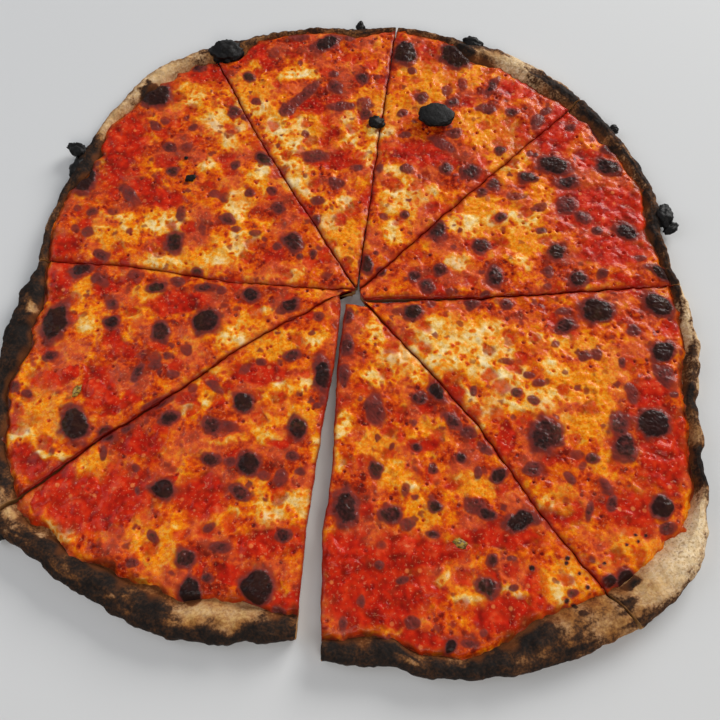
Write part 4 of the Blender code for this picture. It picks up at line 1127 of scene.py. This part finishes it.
def baked_dough():
    """Wheat dough baked in a very hot oven: floury tan, brown, and burnt at the edge."""
    material, tree, place = new_material("baked_wheat_dough")
    tone = mark_of(tree, "burnt")
    dust = pattern(tree, place, 1.9, 0.46, 0.60, 2.0, 0.9)
    pores = pattern(tree, place, 1.2, 0.52, 0.64, 2.0, 2.3)
    for size_mm, detail, shift, weight in DOUGH_GRAINS:
        grain = pattern(tree, place, size_mm, 0.36, 0.66, detail, shift)
        tone = add(tree, "ShaderNodeMath", {"operation": "MULTIPLY_ADD"}, {
            0: grain, 1: weight, 2: tone}).outputs[0]
    tone = times(tree, tone, 0.65)
    base = colour_steps(tree, tone, (
        (0.16, "C09458"), (0.32, "A06E38"), (0.44, "8A5A2E"), (0.55, "623E22"),
        (0.67, "40291A"), (0.80, "281D17"), (0.92, "191513")))
    # flour stays pale only where the dough under it isn't burnt
    clean = add(tree, "ShaderNodeMapRange", {}, {
        "Value": tone, "From Min": 0.60, "From Max": 0.30}).outputs[0]
    floury = times(tree, mark_of(tree, "flour"), clean)
    base = laid_over(tree, base, (
        (times(tree, floury, 0.92), "E6CB9F"),
        (times(tree, times(tree, floury, dust), 0.45), "F3E2C6"),
        (times(tree, times(tree, floury, pores), 0.55), "8A6238"),
        (times(tree, mark_of(tree, "stain"), 0.34), "8C4A18"),
        (times(tree, mark_of(tree, "crumb"), 0.7), "9C7040"),
    ))
    finish_material(tree, {
        "Base Color": base, "Roughness": 0.75, "Specular IOR Level": 0.12}, 0.30, 1.4, place)
    return material


def baked_underside():
    """The face that lay on the oven's stone: flat, tan and floury with scorched spots."""
    material, tree, place = new_material("stone_baked_underside")
    spots = pattern(tree, place, 16.0, 0.54, 0.66, 3.0)
    patches = pattern(tree, place, 5.0, 0.40, 0.62, 4.0, 0.6)
    dust = pattern(tree, place, 1.6, 0.48, 0.60, 2.0, 0.2)
    base = laid_over(tree, colour("C9985C"), (
        (times(tree, patches, 0.7), "A06C38"),
        (times(tree, dust, 0.5), "E9D5B2"),
        (times(tree, spots, 0.85), "4A2B16"),
        (times(tree, times(tree, spots, patches), 0.9), "1C1512"),
    ))
    finish_material(tree, {
        "Base Color": base, "Roughness": 0.8, "Specular IOR Level": 0.25}, 0.25, 1.2, place)
    return material


def burnt_dough():
    """Dough burnt to charcoal: black, and dull on its smooth skin."""
    material, tree, place = new_material("burnt_dough_charcoal")
    patches = pattern(tree, place, 3.0, 0.45, 0.65, 3.0)
    base = laid_over(tree, colour("0B0A0A"), ((times(tree, patches, 0.6), "151111"),))
    finish_material(tree, {
        "Base Color": base, "Roughness": 0.55, "Specular IOR Level": 0.2}, 0.25, 1.1, place)
    return material


def cooked_herb():
    """A scrap of basil gone yellow-green in the oven, slightly oily."""
    material, tree, place = new_material("cooked_basil_scrap")
    patches = pattern(tree, place, 1.6, 0.42, 0.60)
    base = laid_over(tree, colour("A8862A"), ((patches, "5E4416"),))
    finish_material(tree, {"Base Color": base, "Roughness": 0.4}, 0.10, 0.7, place)
    return material


def make_lump(name, spot, size, turn, rough, seed, material, node=None, detail=4, flat=0.0):
    """A rounded, uneven lump: spot is plan x, y and height of its middle, all in mm."""
    bm = bmesh.new()
    bmesh.ops.create_icosphere(bm, subdivisions=detail, radius=1.0)
    spin = Matrix.Rotation(math.radians(turn), 3, "Z")
    middle = Vector((spot[0] + CROSSING[0], spot[1] + CROSSING[1], spot[2]))
    long, wide, high = size
    for vert in bm.verts:
        way = vert.co.normalized()
        bulge = 1.0 + rough * noise.noise(way * 1.7 + Vector((seed, 0.0, 0.0)))
        bulge += rough * 0.45 * noise.noise(way * 4.3 + Vector((seed, 5.0, 0.0)))
        bulge += rough * 0.22 * noise.noise(way * 10.0 + Vector((seed, 9.0, 0.0)))
        shaped = way * bulge
        if flat and shaped.z > flat:
            shaped.z = flat + (shaped.z - flat) * 0.35
        shaped = Vector((shaped.x * long * 0.5, shaped.y * wide * 0.5, shaped.z * high * 0.5))
        vert.co = (spin @ shaped + middle) * MM
    for face in bm.faces:
        face.smooth = True
    mesh = bpy.data.meshes.new(name)
    bm.to_mesh(mesh)
    bm.free()
    mesh.materials.append(material)
    stand_piece(name, mesh, node)


def make_knobs(burnt):
    """Burnt knobs that stand out of the rim, fused to the dough in the solids."""
    for number, knobs in KNOBS.items():
        for index, (x, y, z, long, wide, high, turn) in enumerate(knobs, start=1):
            make_lump(f"burnt_knob_{number}_{index}", (x, y, z), (long, wide, high), turn,
                      0.36, number * 3.1 + index, burnt)


def make_cap(burnt):
    """The loose bubble cap: burnt through, rounded below and flattened on top."""
    low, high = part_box("burnt_cap")
    long, wide, tall = CAP_SIZE
    make_lump("burnt_bubble_cap", (*CAP_MIDDLE, (low.z + high.z) * 0.5 / MM + CAP_LIFT),
              (long, wide, tall + CAP_EXTRA), CAP_TURN, 0.15, 4.0, burnt,
              node="burnt_cap", detail=5, flat=0.45)


def make_bits(burnt, herb):
    """Small burnt crumbs and scraps of herb that lie on the cheese."""
    stuffs = {"burnt": burnt, "herb": herb}
    for name, px, py, long, wide, high, turn, stuff, slot in BITS:
        x, y = photo_to_plan(px, py, TOPPING_LEVEL)
        surface = topping(np.array([x]), np.array([y]))["height"][0]
        make_lump(name, (x, y, surface + high * 0.22), (long, wide, high), turn, 0.5, px * 0.1,
                  stuffs[stuff], detail=3)


def make_floor():
    """A plain pale floor just under the pizza."""
    bm = bmesh.new()
    bmesh.ops.create_grid(bm, x_segments=1, y_segments=1, size=FLOOR_REACH)
    mesh = bpy.data.meshes.new("floor")
    bm.to_mesh(mesh)
    bm.free()
    floor = bpy.data.objects.new("floor", mesh)
    floor.location.z = -FLOOR_DROP
    bpy.context.scene.collection.objects.link(floor)
    material, tree, place = new_material("matt_pale_floor")
    finish_material(tree, {"Base Color": colour("D3D5D6"), "Roughness": 0.85,
                           "Specular IOR Level": 0.2}, 0.0, 1.0, place)
    mesh.materials.append(material)


def make_lights():
    """A soft pale room, a wide window and two faint fills."""
    world = bpy.data.worlds.new("soft_room")
    bpy.context.scene.world = world
    world.use_nodes = True
    back = world.node_tree.nodes["Background"]
    back.inputs["Color"].default_value = colour("F4F6FA")
    back.inputs["Strength"].default_value = ROOM_LIGHT

    middle = Vector((0.0, 0.0, 0.0))
    for name, spot, size, power, tint in LIGHTS:
        light = bpy.data.lights.new(name, "AREA")
        light.shape = "RECTANGLE"
        light.size, light.size_y = size
        light.energy = power
        light.color = colour(tint)[:3]
        lamp = bpy.data.objects.new(name, light)
        lamp.location = spot
        lamp.rotation_euler = (middle - Vector(spot)).to_track_quat("-Z", "Y").to_euler()
        bpy.context.scene.collection.objects.link(lamp)


def make_camera():
    """The camera, where the photograph was taken from."""
    camera = bpy.data.cameras.new("camera")
    camera.sensor_width = SENSOR_WIDTH
    camera.lens = SENSOR_WIDTH * FOCAL_PX / PICTURE_WIDTH
    eye = bpy.data.objects.new("camera", camera)
    eye.location = ((CAMERA_FOOT[0] + CROSSING[0]) * MM, (CAMERA_FOOT[1] + CROSSING[1]) * MM,
                    CAMERA_HEIGHT * MM)
    eye.rotation_euler = Euler((math.radians(90.0) - LOOK_DOWN, 0.0, 0.0))
    bpy.context.scene.collection.objects.link(eye)
    bpy.context.scene.camera = eye
    bpy.context.scene.view_settings.view_transform = "Standard"


def main():
    """Dress all the slices and what lies on them, then light and finish the scene."""
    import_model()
    cheese = melted_mozzarella()
    sauce = cooked_tomato()
    baked = baked_dough()
    underside = baked_underside()
    burnt = burnt_dough()
    herb = cooked_herb()

    cheese_blank = fine_wedge(CHEESE_ROWS, wall_steps=3)
    sauce_blank = fine_wedge(SAUCE_ROWS, wall_steps=2)
    dough_blank = fine_wedge(DOUGH_ROWS, wall_steps=6)
    for number in range(1, len(SLICES) + 1):
        make_dough(number, dough_blank, baked, underside)
        make_sauce(number, sauce_blank, sauce)
        make_cheese(number, cheese_blank, cheese)
    for blank in (cheese_blank, sauce_blank, dough_blank):
        bpy.data.meshes.remove(blank)

    make_knobs(burnt)
    make_cap(burnt)
    make_bits(burnt, herb)
    make_floor()
    make_lights()
    make_camera()


main()
